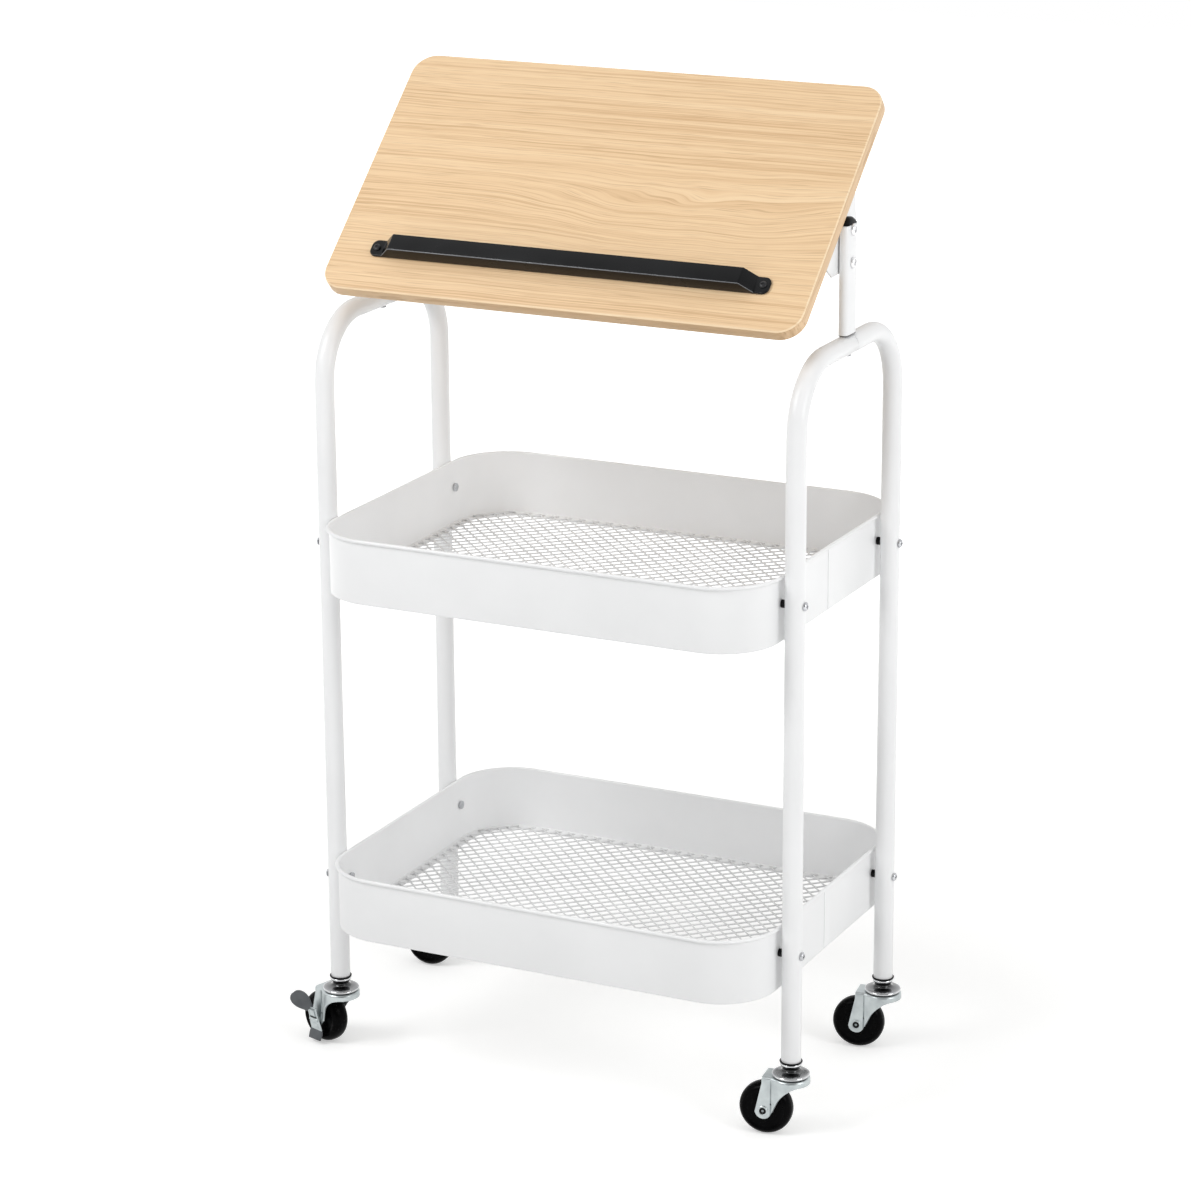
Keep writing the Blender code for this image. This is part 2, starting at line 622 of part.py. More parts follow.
def bracket_mesh(sign):
    """An angle of sheet steel: a flange under the wood and an ear against the post."""
    ear_outer = sign * (LEG_X - POST_THICKNESS / 2 - CLEARANCE)
    ear_inner = ear_outer - sign * BRACKET_SHEET
    flange_inner = ear_outer - sign * BRACKET_FLANGE_WIDTH
    low, high = sorted((ear_outer, flange_inner))
    mesh = prism_mesh("bracket", bracket_outline(), low, high, "X")
    top = top_underside() - CLEARANCE
    room_low, room_high = sorted((ear_inner, flange_inner - sign * CUT_OVERRUN))
    room = [(-BRACKET_FRONT_REACH - CUT_OVERRUN, top - BRACKET_SHEET),
            (BRACKET_BACK_REACH + CUT_OVERRUN, top - BRACKET_SHEET),
            (BRACKET_BACK_REACH + CUT_OVERRUN, -2 * LOCK_SCREW_DROP),
            (-BRACKET_FRONT_REACH - CUT_OVERRUN, -2 * LOCK_SCREW_DROP)]
    ear_low, ear_high = sorted((ear_outer + sign * CUT_OVERRUN, ear_inner - sign * CUT_OVERRUN))
    radius = TILT_SCREW_RADIUS + HOLE_PLAY
    steps = [
        ("DIFFERENCE", make_cutter("bracket_room", prism_mesh("room", room, room_low, room_high, "X"))),
        ("DIFFERENCE", make_cutter("bracket_slot", prism_mesh("slot", slot_outline(), ear_low,
                                                              ear_high, "X"))),
        ("DIFFERENCE", rod_cutter("bracket_pivot", radius, ear_low, ear_high, "X")),
    ]
    return cut_mesh("bracket_cut", mesh, steps)


def tilt_screw_mesh():
    """Head outside the post, shank through post and ear, nut inside; along +X from the post's axis."""
    head = POST_THICKNESS / 2 + CLEARANCE
    nut = -(POST_THICKNESS / 2 + 2 * CLEARANCE + BRACKET_SHEET)
    profile = [
        (0, nut - TILT_NUT_HEIGHT), (TILT_NUT_RADIUS, nut - TILT_NUT_HEIGHT),
        (TILT_NUT_RADIUS, nut), (TILT_SCREW_RADIUS, nut), (TILT_SCREW_RADIUS, head),
        (TILT_SCREW_HEAD_RADIUS, head), (TILT_SCREW_HEAD_RADIUS, head + TILT_SCREW_HEAD_HEIGHT * 0.4),
        (TILT_SCREW_HEAD_RADIUS * 0.75, head + TILT_SCREW_HEAD_HEIGHT),
        (0, head + TILT_SCREW_HEAD_HEIGHT),
    ]
    return turned_mesh("tilt_screw", profile, SCREW_SIDES, "X")


def build_top(root, materials):
    hinge = add_empty("tilt_hinge", root, (0, 0, PIVOT_HEIGHT), (TILT, 0, 0))
    face = top_underside() + TOP_THICKNESS
    add_object("tabletop", tabletop_mesh(), materials["oak"], hinge)
    ledge_base = (0, ledge_middle_y(), face + CLEARANCE)
    add_object("ledge", ledge_mesh(), materials["ledge_plastic"], hinge, ledge_base)
    head_seat = face + 2 * CLEARANCE + LEDGE_FLANGE_HEIGHT
    shank = LEDGE_FLANGE_HEIGHT + LEDGE_SCREW_BITE
    profile = pan_head_profile(LEDGE_SCREW_HEAD_RADIUS, LEDGE_SCREW_HEAD_HEIGHT,
                               LEDGE_SCREW_RADIUS, shank)
    ledge_screw = turned_mesh("ledge_screw", profile, SCREW_SIDES)
    tilt_screw = tilt_screw_mesh()
    for side, sign in SIDES.items():
        add_object("ledge_screw_" + side, ledge_screw, materials["bright_steel"], hinge,
                   (sign * ledge_screw_x(), ledge_middle_y(), head_seat))
        add_object("tilt_bracket_" + side, bracket_mesh(sign), materials["white_paint"], hinge)
        facing = 0 if sign > 0 else pi
        for name, height in (("pivot", PIVOT_HEIGHT), ("lock", PIVOT_HEIGHT - LOCK_SCREW_DROP)):
            add_object(f"tilt_{name}_screw_{side}", tilt_screw, materials["bright_steel"], root,
                       (sign * LEG_X, 0, height), (0, 0, facing))


# Baskets

def wall_profile():
    """The band's section as (outwards, up): a flange, a folded corner, the wall, a rolled rim."""
    sheet = BASKET_SHEET
    rim = BASKET_RIM_RADIUS
    centre = (rim - sheet, BASKET_HEIGHT - rim)
    under = -acos((sheet - rim) / rim) if sheet < rim else -pi / 2
    rim_points = arc_points(centre, rim, under, pi, 6)
    rim_points[0] = (0, rim_points[0][1])
    fold = BASKET_FOLD_RADIUS
    return (
        [(-BASKET_FLANGE_WIDTH, 0), (-fold, 0), (0, fold)]
        + rim_points
        + [(-sheet, sheet + fold), (-sheet - fold, sheet), (-BASKET_FLANGE_WIDTH, sheet)]
    )


def wall_stations():
    """Places round the basket: a point on the corner circles' centres, a direction and a lap."""
    radius = BASKET_CORNER_RADIUS
    reach_x = BASKET_HALF_X - radius
    reach_y = BASKET_HALF_Y - radius
    stations = []
    half_lap = BASKET_LAP_WIDTH / 2
    for y, lap in ((-half_lap - BASKET_LAP_STEP, 0), (-half_lap, 1), (half_lap, 1),
                   (half_lap + BASKET_LAP_STEP, 0)):
        stations.append((reach_x, y, 0.0, lap))
    for side_x, side_y, quarter in ((1, 1, 0), (-1, 1, 1), (-1, -1, 2), (1, -1, 3)):
        for k in range(CORNER_STEPS + 1):
            angle = (quarter + k / CORNER_STEPS) * pi / 2
            stations.append((side_x * reach_x, side_y * reach_y, angle, 0))
    return stations


def basket_wall_mesh():
    profile = wall_profile()
    low = BASKET_FOLD_RADIUS
    high = BASKET_HEIGHT - 2 * BASKET_RIM_RADIUS
    rings = []
    for x, y, angle, lap in wall_stations():
        ring = []
        for outwards, up in profile:
            on_outer_wall = outwards == 0 and low / 2 < up < high + BASKET_RIM_RADIUS
            step = lap * BASKET_LAP_STEP if on_outer_wall else 0
            radius = BASKET_CORNER_RADIUS + outwards + step
            ring.append((x + radius * cos(angle), y + radius * sin(angle), up))
        rings.append(ring)
    bm = bmesh.new()
    join_rings(bm, rings, closed=True)
    mesh = finish_mesh("basket_wall", bm)
    radius = BASKET_SCREW_RADIUS + HOLE_PLAY
    inner = BASKET_HALF_X - BASKET_SHEET - CUT_OVERRUN
    outer = BASKET_HALF_X + CUT_OVERRUN
    cutters = []
    for side, sign in SIDES.items():
        low_x, high_x = sorted((sign * inner, sign * outer))
        for end, end_sign in ENDS.items():
            place = (0, end_sign * LEG_Y, BASKET_SCREW_ABOVE_FLOOR)
            cutters.append(("DIFFERENCE", rod_cutter(f"wall_hole_{end}_{side}", radius, low_x,
                                                     high_x, "X", place)))
    return cut_mesh("basket_wall_drilled", mesh, cutters)


def diamond_cutter(low, high):
    """Staggered diamond openings that fill the sheet inside its plain border."""
    half_x = BASKET_HALF_X - MESH_INSET - MESH_BORDER
    half_y = BASKET_HALF_Y - MESH_INSET - MESH_BORDER
    corner = BASKET_CORNER_RADIUS - MESH_BORDER
    reach_x = MESH_PITCH_X / 2 - MESH_STRAND
    reach_y = reach_x * MESH_PITCH_Y / MESH_PITCH_X
    bm = bmesh.new()
    rows = int(half_y / (MESH_PITCH_Y / 2)) + 1
    columns = int(half_x / MESH_PITCH_X) + 1
    for row in range(-rows, rows + 1):
        y = row * MESH_PITCH_Y / 2
        shift = MESH_PITCH_X / 2 if row % 2 else 0
        for column in range(-columns, columns + 1):
            x = column * MESH_PITCH_X + shift
            outside_x = abs(x) + reach_x - (half_x - corner)
            outside_y = abs(y) + reach_y - (half_y - corner)
            tip_x = abs(x) + reach_x <= half_x and abs(y) <= half_y
            tip_y = abs(y) + reach_y <= half_y
            in_corner = hypot(max(outside_x - reach_x / 2, 0), max(outside_y - reach_y / 2, 0)) <= corner
            if not (tip_x and tip_y and in_corner):
                continue
            ring = [bm.verts.new((x + reach_x, y, low)), bm.verts.new((x, y + reach_y, low)),
                    bm.verts.new((x - reach_x, y, low)), bm.verts.new((x, y - reach_y, low))]
            face = bm.faces.new(ring)
            grown = bmesh.ops.extrude_face_region(bm, geom=[face])
            moved = [item for item in grown["geom"] if isinstance(item, bmesh.types.BMVert)]
            bmesh.ops.translate(bm, vec=(0, 0, high - low), verts=moved)
    bmesh.ops.recalc_face_normals(bm, faces=bm.faces)
    mesh = bpy.data.meshes.new("diamonds")
    bm.to_mesh(mesh)
    bm.free()
    return make_cutter("diamonds", mesh)


def basket_floor_mesh():
    outline = rounded_rectangle(BASKET_HALF_X - MESH_INSET, BASKET_HALF_Y - MESH_INSET,
                                BASKET_CORNER_RADIUS - MESH_INSET)
    low = BASKET_SHEET + CLEARANCE
    top = low + MESH_SHEET
    sheet = prism_mesh("basket_floor", outline, low, top)
    cutter = diamond_cutter(low - CUT_OVERRUN, top + CUT_OVERRUN)
    return cut_mesh("basket_floor_cut", sheet, [("DIFFERENCE", cutter)])


def basket_screw_mesh():
    """Head outside the leg, nut inside the basket wall; along +X from the leg's axis."""
    head = TUBE_RADIUS + CLEARANCE
    nut = -(TUBE_RADIUS + BASKET_TO_LEG + BASKET_SHEET + CLEARANCE)
    profile = [
        (0, nut - BASKET_NUT_HEIGHT), (BASKET_NUT_RADIUS, nut - BASKET_NUT_HEIGHT),
        (BASKET_NUT_RADIUS, nut), (BASKET_SCREW_RADIUS, nut), (BASKET_SCREW_RADIUS, head),
        (BASKET_SCREW_HEAD_RADIUS, head),
        (BASKET_SCREW_HEAD_RADIUS, head + BASKET_SCREW_HEAD_HEIGHT * 0.4),
        (BASKET_SCREW_HEAD_RADIUS * 0.75, head + BASKET_SCREW_HEAD_HEIGHT),
        (0, head + BASKET_SCREW_HEAD_HEIGHT),
    ]
    return turned_mesh("basket_screw", profile, SCREW_SIDES, "X")


def spacer_mesh():
    """A sleeve on the screw between the leg and the basket wall; along X from the leg's axis."""
    bore = BASKET_SCREW_RADIUS + HOLE_PLAY
    near = -(TUBE_RADIUS + CLEARANCE)
    far = -(TUBE_RADIUS + BASKET_TO_LEG - CLEARANCE)
    profile = [(bore, far), (SPACER_RADIUS, far), (SPACER_RADIUS, near), (bore, near)]
    return turned_mesh("spacer", profile, SCREW_SIDES, "X", closed=True)


def build_baskets(root, materials):
    wall = basket_wall_mesh()
    floor = basket_floor_mesh()
    screw = basket_screw_mesh()
    spacer = spacer_mesh()
    for level, height in BASKETS.items():
        add_object(f"basket_wall_{level}", wall, materials["white_paint"], root, (0, 0, height))
        add_object(f"basket_floor_{level}", floor, materials["mesh_paint"], root, (0, 0, height))
        for side, sign in SIDES.items():
            facing = 0 if sign > 0 else pi
            for end, end_sign in ENDS.items():
                place = (sign * LEG_X, end_sign * LEG_Y, height + BASKET_SCREW_ABOVE_FLOOR)
                add_object(f"basket_screw_{level}_{end}_{side}", screw, materials["bright_steel"],
                           root, place, (0, 0, facing))
                add_object(f"spacer_{level}_{end}_{side}", spacer, materials["black_plastic"],
                           root, place, (0, 0, facing))


# Casters. A caster's own frame has its stem's axis at the origin on the floor, and +X towards
# the trailing wheel.

def collar_mesh():
    """A black flanged bush in the leg's end."""
    top = LEG_FOOT_HEIGHT - CLEARANCE
    bore = STEM_RADIUS + HOLE_PLAY
    plug = TUBE_BORE - CLEARANCE
    profile = [
        (bore, top - COLLAR_HEIGHT), (COLLAR_RADIUS, top - COLLAR_HEIGHT), (COLLAR_RADIUS, top),
        (plug, top), (plug, top + COLLAR_PLUG_LENGTH), (bore, top + COLLAR_PLUG_LENGTH),
    ]
    return turned_mesh("collar", profile, TUBE_SIDES, closed=True)


def stem_mesh():
    """The fixed half of the swivel: stem, cup and neck over a dished race."""
    cup_top = LEG_FOOT_HEIGHT - 2 * CLEARANCE - COLLAR_HEIGHT
    race_base = FORK_CROWN_TOP + CLEARANCE
    race_edge_top = race_base + RACE_EDGE_HEIGHT
    race_top = race_edge_top + RACE_DISH
    neck_height = cup_top - race_top
    profile = [
        (0, race_base), (RACE_RADIUS * 0.93, race_base), (RACE_RADIUS, race_base + RACE_EDGE_HEIGHT / 2),
        (RACE_RADIUS * 0.97, race_edge_top), (NECK_RADIUS * 1.2, race_top),
        (NECK_RADIUS, race_top + neck_height * 0.35), (CUP_RADIUS, race_top + neck_height * 0.75),
        (CUP_RADIUS, cup_top), (STEM_RADIUS, cup_top), (STEM_RADIUS, cup_top + STEM_LENGTH),
        (0, cup_top + STEM_LENGTH),
    ]
    return turned_mesh("stem", profile, CASTER_SIDES)


def fork_plan(shrink):
    """The fork from above: a round crown that runs into two parallel legs, by a crease a side."""
    radius = FORK_CROWN_RADIUS - shrink
    half = FORK_HALF_OUTER - shrink
    tail = CASTER_TRAIL + FORK_LEG_END_RADIUS + CUT_OVERRUN
    crease = CASTER_TRAIL - FORK_CREASE_AHEAD
    start = radians(58)
    round_part = arc_points((0, 0), radius, start, 2 * pi - start, CROWN_STEPS)
    return [(tail, -half), (tail, half), (crease, half)] + round_part + [(crease, -half)]


def fork_side():
    """The fork's side as (trailing, up): crown rim, swept front edge, round leg end, tail."""
    axle = (CASTER_TRAIL, WHEEL_RADIUS)
    rim = FORK_CROWN_TOP - FORK_RIM_DEPTH
    drop = rim - WHEEL_RADIUS
    front = -FORK_CROWN_RADIUS - CUT_OVERRUN
    end = arc_points(axle, FORK_LEG_END_RADIUS, radians(205), radians(370), 7)
    sweep = [(-FORK_CROWN_RADIUS * 0.55, rim - drop * 0.07), (CASTER_TRAIL * 0.21, rim - drop * 0.45),
             (CASTER_TRAIL * 0.52, rim - drop * 0.82)]
    tail = CASTER_TRAIL + FORK_TAIL_REACH
    top = FORK_CROWN_TOP
    return [(front, top), (front, rim)] + sweep + end + [(tail, rim), (tail, top)]


def fork_mesh():
    """A stamped fork: its plan and side outlines crossed, hollowed for the wheel, with its axle."""
    top = FORK_CROWN_TOP
    mesh = prism_mesh("fork", fork_plan(0), 0, top)
    half = FORK_CROWN_RADIUS + CUT_OVERRUN
    side = make_cutter("fork_side", prism_mesh("fork_side", fork_side(), -half, half, "Y"))
    inside = fork_plan(FORK_SHEET)
    tail = CASTER_TRAIL + FORK_LEG_END_RADIUS + 2 * CUT_OVERRUN
    inside[0] = (tail, inside[0][1])
    inside[1] = (tail, inside[1][1])
    room = make_cutter("fork_room", prism_mesh("fork_room", inside, -CUT_OVERRUN, top - FORK_SHEET))
    head = FORK_HALF_OUTER
    profile = [
        (0, -head - AXLE_HEAD_HEIGHT), (AXLE_HEAD_RADIUS * 0.8, -head - AXLE_HEAD_HEIGHT),
        (AXLE_HEAD_RADIUS, -head - AXLE_HEAD_HEIGHT * 0.3), (AXLE_HEAD_RADIUS, -head + FORK_SHEET / 2),
        (AXLE_RADIUS, -head + FORK_SHEET / 2), (AXLE_RADIUS, head - FORK_SHEET / 2),
        (AXLE_HEAD_RADIUS, head - FORK_SHEET / 2), (AXLE_HEAD_RADIUS, head + AXLE_HEAD_HEIGHT * 0.3),
        (AXLE_HEAD_RADIUS * 0.8, head + AXLE_HEAD_HEIGHT), (0, head + AXLE_HEAD_HEIGHT),
    ]
    axle = make_cutter("fork_axle", turned_mesh("fork_axle", profile, AXLE_SIDES, "Y"),
                       (CASTER_TRAIL, 0, WHEEL_RADIUS))
    return cut_mesh("fork_cut", mesh, [("INTERSECT", side), ("DIFFERENCE", room), ("UNION", axle)])


def wheel_mesh():
    """A wheel with a crowned tread, dished faces and a proud hub, turned about Y."""
    hub = WHEEL_HUB_WIDTH / 2
    face = WHEEL_FACE_WIDTH / 2
    shoulder = WHEEL_SHOULDER_WIDTH / 2
    crown = WHEEL_CROWN_WIDTH / 2
    bore = (AXLE_RADIUS + HOLE_PLAY)
    half = [
        (bore, hub), (WHEEL_HUB_RADIUS, hub), (WHEEL_HUB_RADIUS * 1.1, face),
        (WHEEL_RADIUS * 0.70, face), (WHEEL_RADIUS * 0.80, shoulder),
        (WHEEL_RADIUS * 0.93, shoulder * 0.72), (WHEEL_RADIUS, crown),
    ]
    profile = half + [(radius, -across) for radius, across in reversed(half)]
    return turned_mesh("wheel", profile, WHEEL_SIDES, "Y", closed=True, flat_to_flat=True)


def brake_sections():
    """Stations down the rocker as (height, outward flare, half width), foot end first."""
    sections = []
    for along, width in BRAKE_FOOT_SHARES:
        sections.append((-BRAKE_STRAP_DROP - BRAKE_FOOT_DROP * along, BRAKE_FOOT_FLARE * along,
                         BRAKE_FOOT_WIDTH / 2 * width))
    sections.append((-BRAKE_STRAP_DROP, 0, BRAKE_STRAP_WIDTH / 2))
    sections.append((BRAKE_STRAP_RISE, 0, BRAKE_STRAP_WIDTH / 2))
    for along, width in BRAKE_PADDLE_SHARES:
        sections.append((BRAKE_STRAP_RISE + BRAKE_PADDLE_RISE * along, BRAKE_PADDLE_FLARE * along,
                         BRAKE_PADDLE_WIDTH / 2 * width))
    return sections


def brake_mesh():
    """A rocker with a paddle above and a foot below. Its origin is the middle of its pin, which
    lies along X, and +Y points away from the wheel."""
    sections = brake_sections()
    rings = []
    for k, (height, flare, half) in enumerate(sections):
        before = sections[max(k - 1, 0)]
        after = sections[min(k + 1, len(sections) - 1)]
        along = Vector((0, after[1] - before[1], after[0] - before[0])).normalized()
        normal = Vector((0, along.z, -along.y)) * (BRAKE_SHEET / 2)
        middle = Vector((0, flare, height))
        across = Vector((half, 0, 0))
        rings.append([tuple(middle + across - normal), tuple(middle + across + normal),
                      tuple(middle - across + normal), tuple(middle - across - normal)])
    bm = bmesh.new()
    join_rings(bm, rings, closed=False)
    mesh = finish_mesh("brake_rocker", bm)
    reach = BRAKE_STRAP_WIDTH / 2 - BRAKE_SHEET
    pin = rod_cutter("brake_pin", BRAKE_PIN_RADIUS, -reach, reach, "X")
    return cut_mesh("brake_rocker_pinned", mesh, [("UNION", pin)])


def build_casters(root, materials):
    collar = collar_mesh()
    stem = stem_mesh()
    fork = fork_mesh()
    wheel = wheel_mesh()
    for (end, side), swivel in SWIVELS.items():
        place = (SIDES[side] * LEG_X, ENDS[end] * LEG_Y, 0)
        name = f"{end}_{side}"
        add_object("caster_collar_" + name, collar, materials["black_plastic"], root, place)
        add_object("caster_stem_" + name, stem, materials["chrome"], root, place)
        turn = add_empty("caster_swivel_" + name, root, place, (0, 0, pi + radians(swivel)))
        add_object("caster_fork_" + name, fork, materials["bright_steel"], turn)
        add_object("caster_wheel_" + name, wheel, materials["wheel_black"], turn,
                   (CASTER_TRAIL, 0, WHEEL_RADIUS))
        if name == "front_left":
            beside = FORK_HALF_OUTER + AXLE_HEAD_HEIGHT + CLEARANCE + BRAKE_PIN_RADIUS
            add_object("brake_rocker", brake_mesh(), materials["bright_steel"], turn,
                       (CASTER_TRAIL, beside, WHEEL_RADIUS), (-radians(BRAKE_TILT_DEGREES), 0, 0))


# Standing the finished table on the floor, under the middle of its outline

def centre_on_floor(root):
    bpy.context.view_layer.update()
    corners = []
    for item in bpy.data.objects:
        if item.type == "MESH":
            corners += [item.matrix_world @ vert.co for vert in item.data.vertices]
    low = [min(corner[axis] for corner in corners) for axis in range(3)]
    high = [max(corner[axis] for corner in corners) for axis in range(3)]
    root.location = (-(low[0] + high[0]) / 2, -(low[1] + high[1]) / 2, -low[2])
    bpy.context.view_layer.update()


def main():
    clear_scene()
    materials = make_materials()
    root = add_empty("table")
    build_side_frames(root, materials)
    build_posts(root, materials)
    build_top(root, materials)
    build_baskets(root, materials)
    build_casters(root, materials)
    centre_on_floor(root)


main()
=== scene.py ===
# %% [markdown]
# # The looks of a rolling laptop table
# The real table is a bent white tube frame on four swivel casters. It carries two sheet-metal
# baskets with expanded-metal floors, and two flat posts hold a tilting wooden top with a stop
# ledge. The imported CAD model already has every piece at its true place. This lesson loads it as a
# fixed frame, models a finer piece over each part that shows, and gives everything its finish.

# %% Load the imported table
import json
from math import cos, hypot, pi, radians, sin, sqrt
import bmesh
import bpy
from mathutils import Matrix, Vector


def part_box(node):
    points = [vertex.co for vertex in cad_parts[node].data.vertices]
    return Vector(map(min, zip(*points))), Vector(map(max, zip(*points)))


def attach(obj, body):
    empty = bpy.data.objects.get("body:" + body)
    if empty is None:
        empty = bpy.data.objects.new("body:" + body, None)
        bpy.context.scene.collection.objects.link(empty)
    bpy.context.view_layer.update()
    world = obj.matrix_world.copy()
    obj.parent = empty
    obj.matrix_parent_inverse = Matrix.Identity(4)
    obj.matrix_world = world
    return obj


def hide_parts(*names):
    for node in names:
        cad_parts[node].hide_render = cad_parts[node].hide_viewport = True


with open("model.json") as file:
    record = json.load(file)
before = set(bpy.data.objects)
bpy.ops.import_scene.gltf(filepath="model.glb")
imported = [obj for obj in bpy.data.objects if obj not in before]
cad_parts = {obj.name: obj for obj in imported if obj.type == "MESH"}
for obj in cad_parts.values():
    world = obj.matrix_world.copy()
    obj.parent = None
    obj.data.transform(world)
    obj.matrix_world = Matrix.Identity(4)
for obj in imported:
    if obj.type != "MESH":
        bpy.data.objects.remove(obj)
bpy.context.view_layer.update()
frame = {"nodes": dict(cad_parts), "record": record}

# %% [markdown]
# The sizes below are the ones the CAD was built with, in metres. The table's middle isn't at x = 0,
# because the turned casters reach further to one side, so it is measured from the two posts.

# %% Sizes that several pieces share
POSTS = {side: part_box("post_" + side) for side in ("left", "right")}
MIDDLE_X = (POSTS["left"][0].x + POSTS["right"][1].x) / 2
SIDES = {"left": -1, "right": 1}
ENDS = {"front": -1, "back": 1}
BASKETS = {"lower": 0.153, "upper": 0.5105}
GAP = 0.0003
MERGE = 0.000002
TUBE_RADIUS = 0.0100
TUBE_WALL = 0.0012
LEG_X = 0.256
LEG_Y = 0.1194
LEG_FOOT = 0.079
TOP_BAR = 0.778
BEND = 0.065
SEAM_Y = 0.006
PIVOT_HEIGHT = 0.891
TILT = radians(42.6)
print("middle of the table at x =", round(MIDDLE_X, 5))

# %% [markdown]
# ## Camera
# A photograph taken from far away with a long lens keeps upright lines nearly parallel. The place,
# the three turns and the lens below were fitted to the straight edges of the real table.

# %% Camera at the photograph's view
yaw, pitch, roll = radians(26.46), radians(-16.96), radians(-0.39)
ahead = Vector((-sin(yaw) * cos(pitch), cos(yaw) * cos(pitch), sin(pitch)))
level_right = Vector((cos(yaw), sin(yaw), 0))
level_up = level_right.cross(ahead)
right = level_right * cos(roll) + level_up * sin(roll)
up = level_up * cos(roll) - level_right * sin(roll)
lens = bpy.data.cameras.new("photo_camera")
lens.lens = 115.43
lens.clip_end = 30
camera = bpy.data.objects.new("photo_camera", lens)
bpy.context.scene.collection.objects.link(camera)
turned = Matrix((right, up, -ahead)).transposed().to_4x4()
camera.matrix_world = Matrix.Translation((MIDDLE_X + 1.64515, -3.3367, 1.62305)) @ turned
bpy.context.scene.camera = camera
print("camera at", [round(c, 3) for c in camera.matrix_world.translation])

# %% [markdown]
# ## Node helpers
# A material is a small graph. The helpers add a node with its settings, join two sockets and map
# one range of values on to another, so each finish below reads as a short list of steps.

# %% Helpers that build node graphs
MIX_FACTOR, MIX_FIRST, MIX_SECOND, MIX_COLOUR = 0, 6, 7, 2


def add_node(tree, kind, **settings):
    node = tree.nodes.new("ShaderNode" + kind)
    for name, value in settings.items():
        if hasattr(node, name):
            setattr(node, name, value)
        else:
            node.inputs[name.replace("_", " ")].default_value = value
    return node


def join(source, out, target, into):
    source.id_data.links.new(source.outputs[out], target.inputs[into])


def use_coordinates(node, socket="Vector"):
    join(add_node(node.id_data, "TexCoord"), "Object", node, socket)


def remap(tree, low, high, to_low=0.0, to_high=1.0, smooth=False):
    kind = "SMOOTHSTEP" if smooth else "LINEAR"
    return add_node(tree, "MapRange", clamp=True, interpolation_type=kind, From_Min=low,
                    From_Max=high, To_Min=to_low, To_Max=to_high)


def calculate(tree, operation, second=None):
    node = add_node(tree, "Math", operation=operation)
    if second is not None:
        node.inputs[1].default_value = second
    return node


def blend(tree, **settings):
    return add_node(tree, "Mix", data_type="RGBA", **settings)


def colour_ramp(tree, stops):
    """Stops are (place, colour), the first at 0 and the last at 1."""
    ramp = add_node(tree, "ValToRGB")
    elements = ramp.color_ramp.elements
    for place, colour in stops[1:-1]:
        elements.new(place).color = (*colour, 1)
    elements[0].color = (*stops[0][1], 1)
    elements[-1].color = (*stops[-1][1], 1)
    return ramp


def ask_ray(tree):
    """A node on what kind of ray looks, and one that is 1 for camera and glossy rays."""
    ray = add_node(tree, "LightPath")
    either = calculate(tree, "MAXIMUM")
    join(ray, "Is Camera Ray", either, 0)
    join(ray, "Is Glossy Ray", either, 1)
    return ray, either


def add_bump(tree, shader, fields, field, **settings):
    raised = add_node(tree, "Bump", **settings)
    join(fields, field, raised, "Height")
    join(raised, "Normal", shader, "Normal")


def start_material(name, colour, roughness, metallic=0.0):
    """A material whose Principled shader holds plain values; patterns are joined to it later."""
    material = bpy.data.materials.new(name)
    material.use_nodes = True
    shader = material.node_tree.nodes["Principled BSDF"]
    shader.inputs["Base Color"].default_value = (*colour, 1)
    shader.inputs["Roughness"].default_value = roughness
    shader.inputs["Metallic"].default_value = metallic
    return material, material.node_tree, shader


def start_group(name, takes, gives):
    group = bpy.data.node_groups.new(name, "ShaderNodeTree")
    for title, kind, value in takes:
        socket = group.interface.new_socket(name=title, in_out="INPUT", socket_type=kind)
        if value is not None:
            socket.default_value = value
    for title, kind in gives:
        group.interface.new_socket(name=title, in_out="OUTPUT", socket_type=kind)
    return group, group.nodes.new("NodeGroupInput"), group.nodes.new("NodeGroupOutput")


# %% [markdown]
# ## Surface patterns
# Even a plain coat isn't even. Powder coat has a fine orange peel, plating has rolling lines and
# handling marks, and mouldings carry a faint texture. One group makes the three fields that these
# share: a fine grain, slow cloudy patches and long fine scratches. Each material scales them.

# %% The shared surface group
surface, taken, given = start_group(
    "surface_fields",
    [("Coordinates", "NodeSocketVector", None), ("Grain Scale", "NodeSocketFloat", 900.0),
     ("Cloud Scale", "NodeSocketFloat", 14.0), ("Scratch Scale", "NodeSocketFloat", 60.0)],
    [("Grain", "NodeSocketFloat"), ("Cloud", "NodeSocketFloat"), ("Scratch", "NodeSocketFloat")])
grain = add_node(surface, "TexNoise", Detail=2.0, Roughness=0.5)
cloud = add_node(surface, "TexNoise", Detail=4.0, Roughness=0.55)
for node, scale in ((grain, "Grain Scale"), (cloud, "Cloud Scale")):
    join(taken, "Coordinates", node, "Vector")
    join(taken, scale, node, "Scale")
stretch = add_node(surface, "Mapping", Rotation=(0.5, 0.35, 0.6), Scale=(0.09, 1, 1))
streaks = add_node(surface, "TexNoise", Detail=3.0, Roughness=0.7)
keep = remap(surface, 0.62, 0.78)
join(taken, "Coordinates", stretch, "Vector")
join(stretch, "Vector", streaks, "Vector")
join(taken, "Scratch Scale", streaks, "Scale")
join(streaks, "Fac", keep, "Value")
join(grain, "Fac", given, "Grain")
join(cloud, "Fac", given, "Cloud")
join(keep, "Result", given, "Scratch")
print("group:", surface.name, "with", len(surface.nodes), "nodes")


# %% [markdown]
# A finish then needs only its tones. The cloudy patches blend two close colours, the same patches
# and the scratches move the roughness between two values, and the grain stands up as a bump.

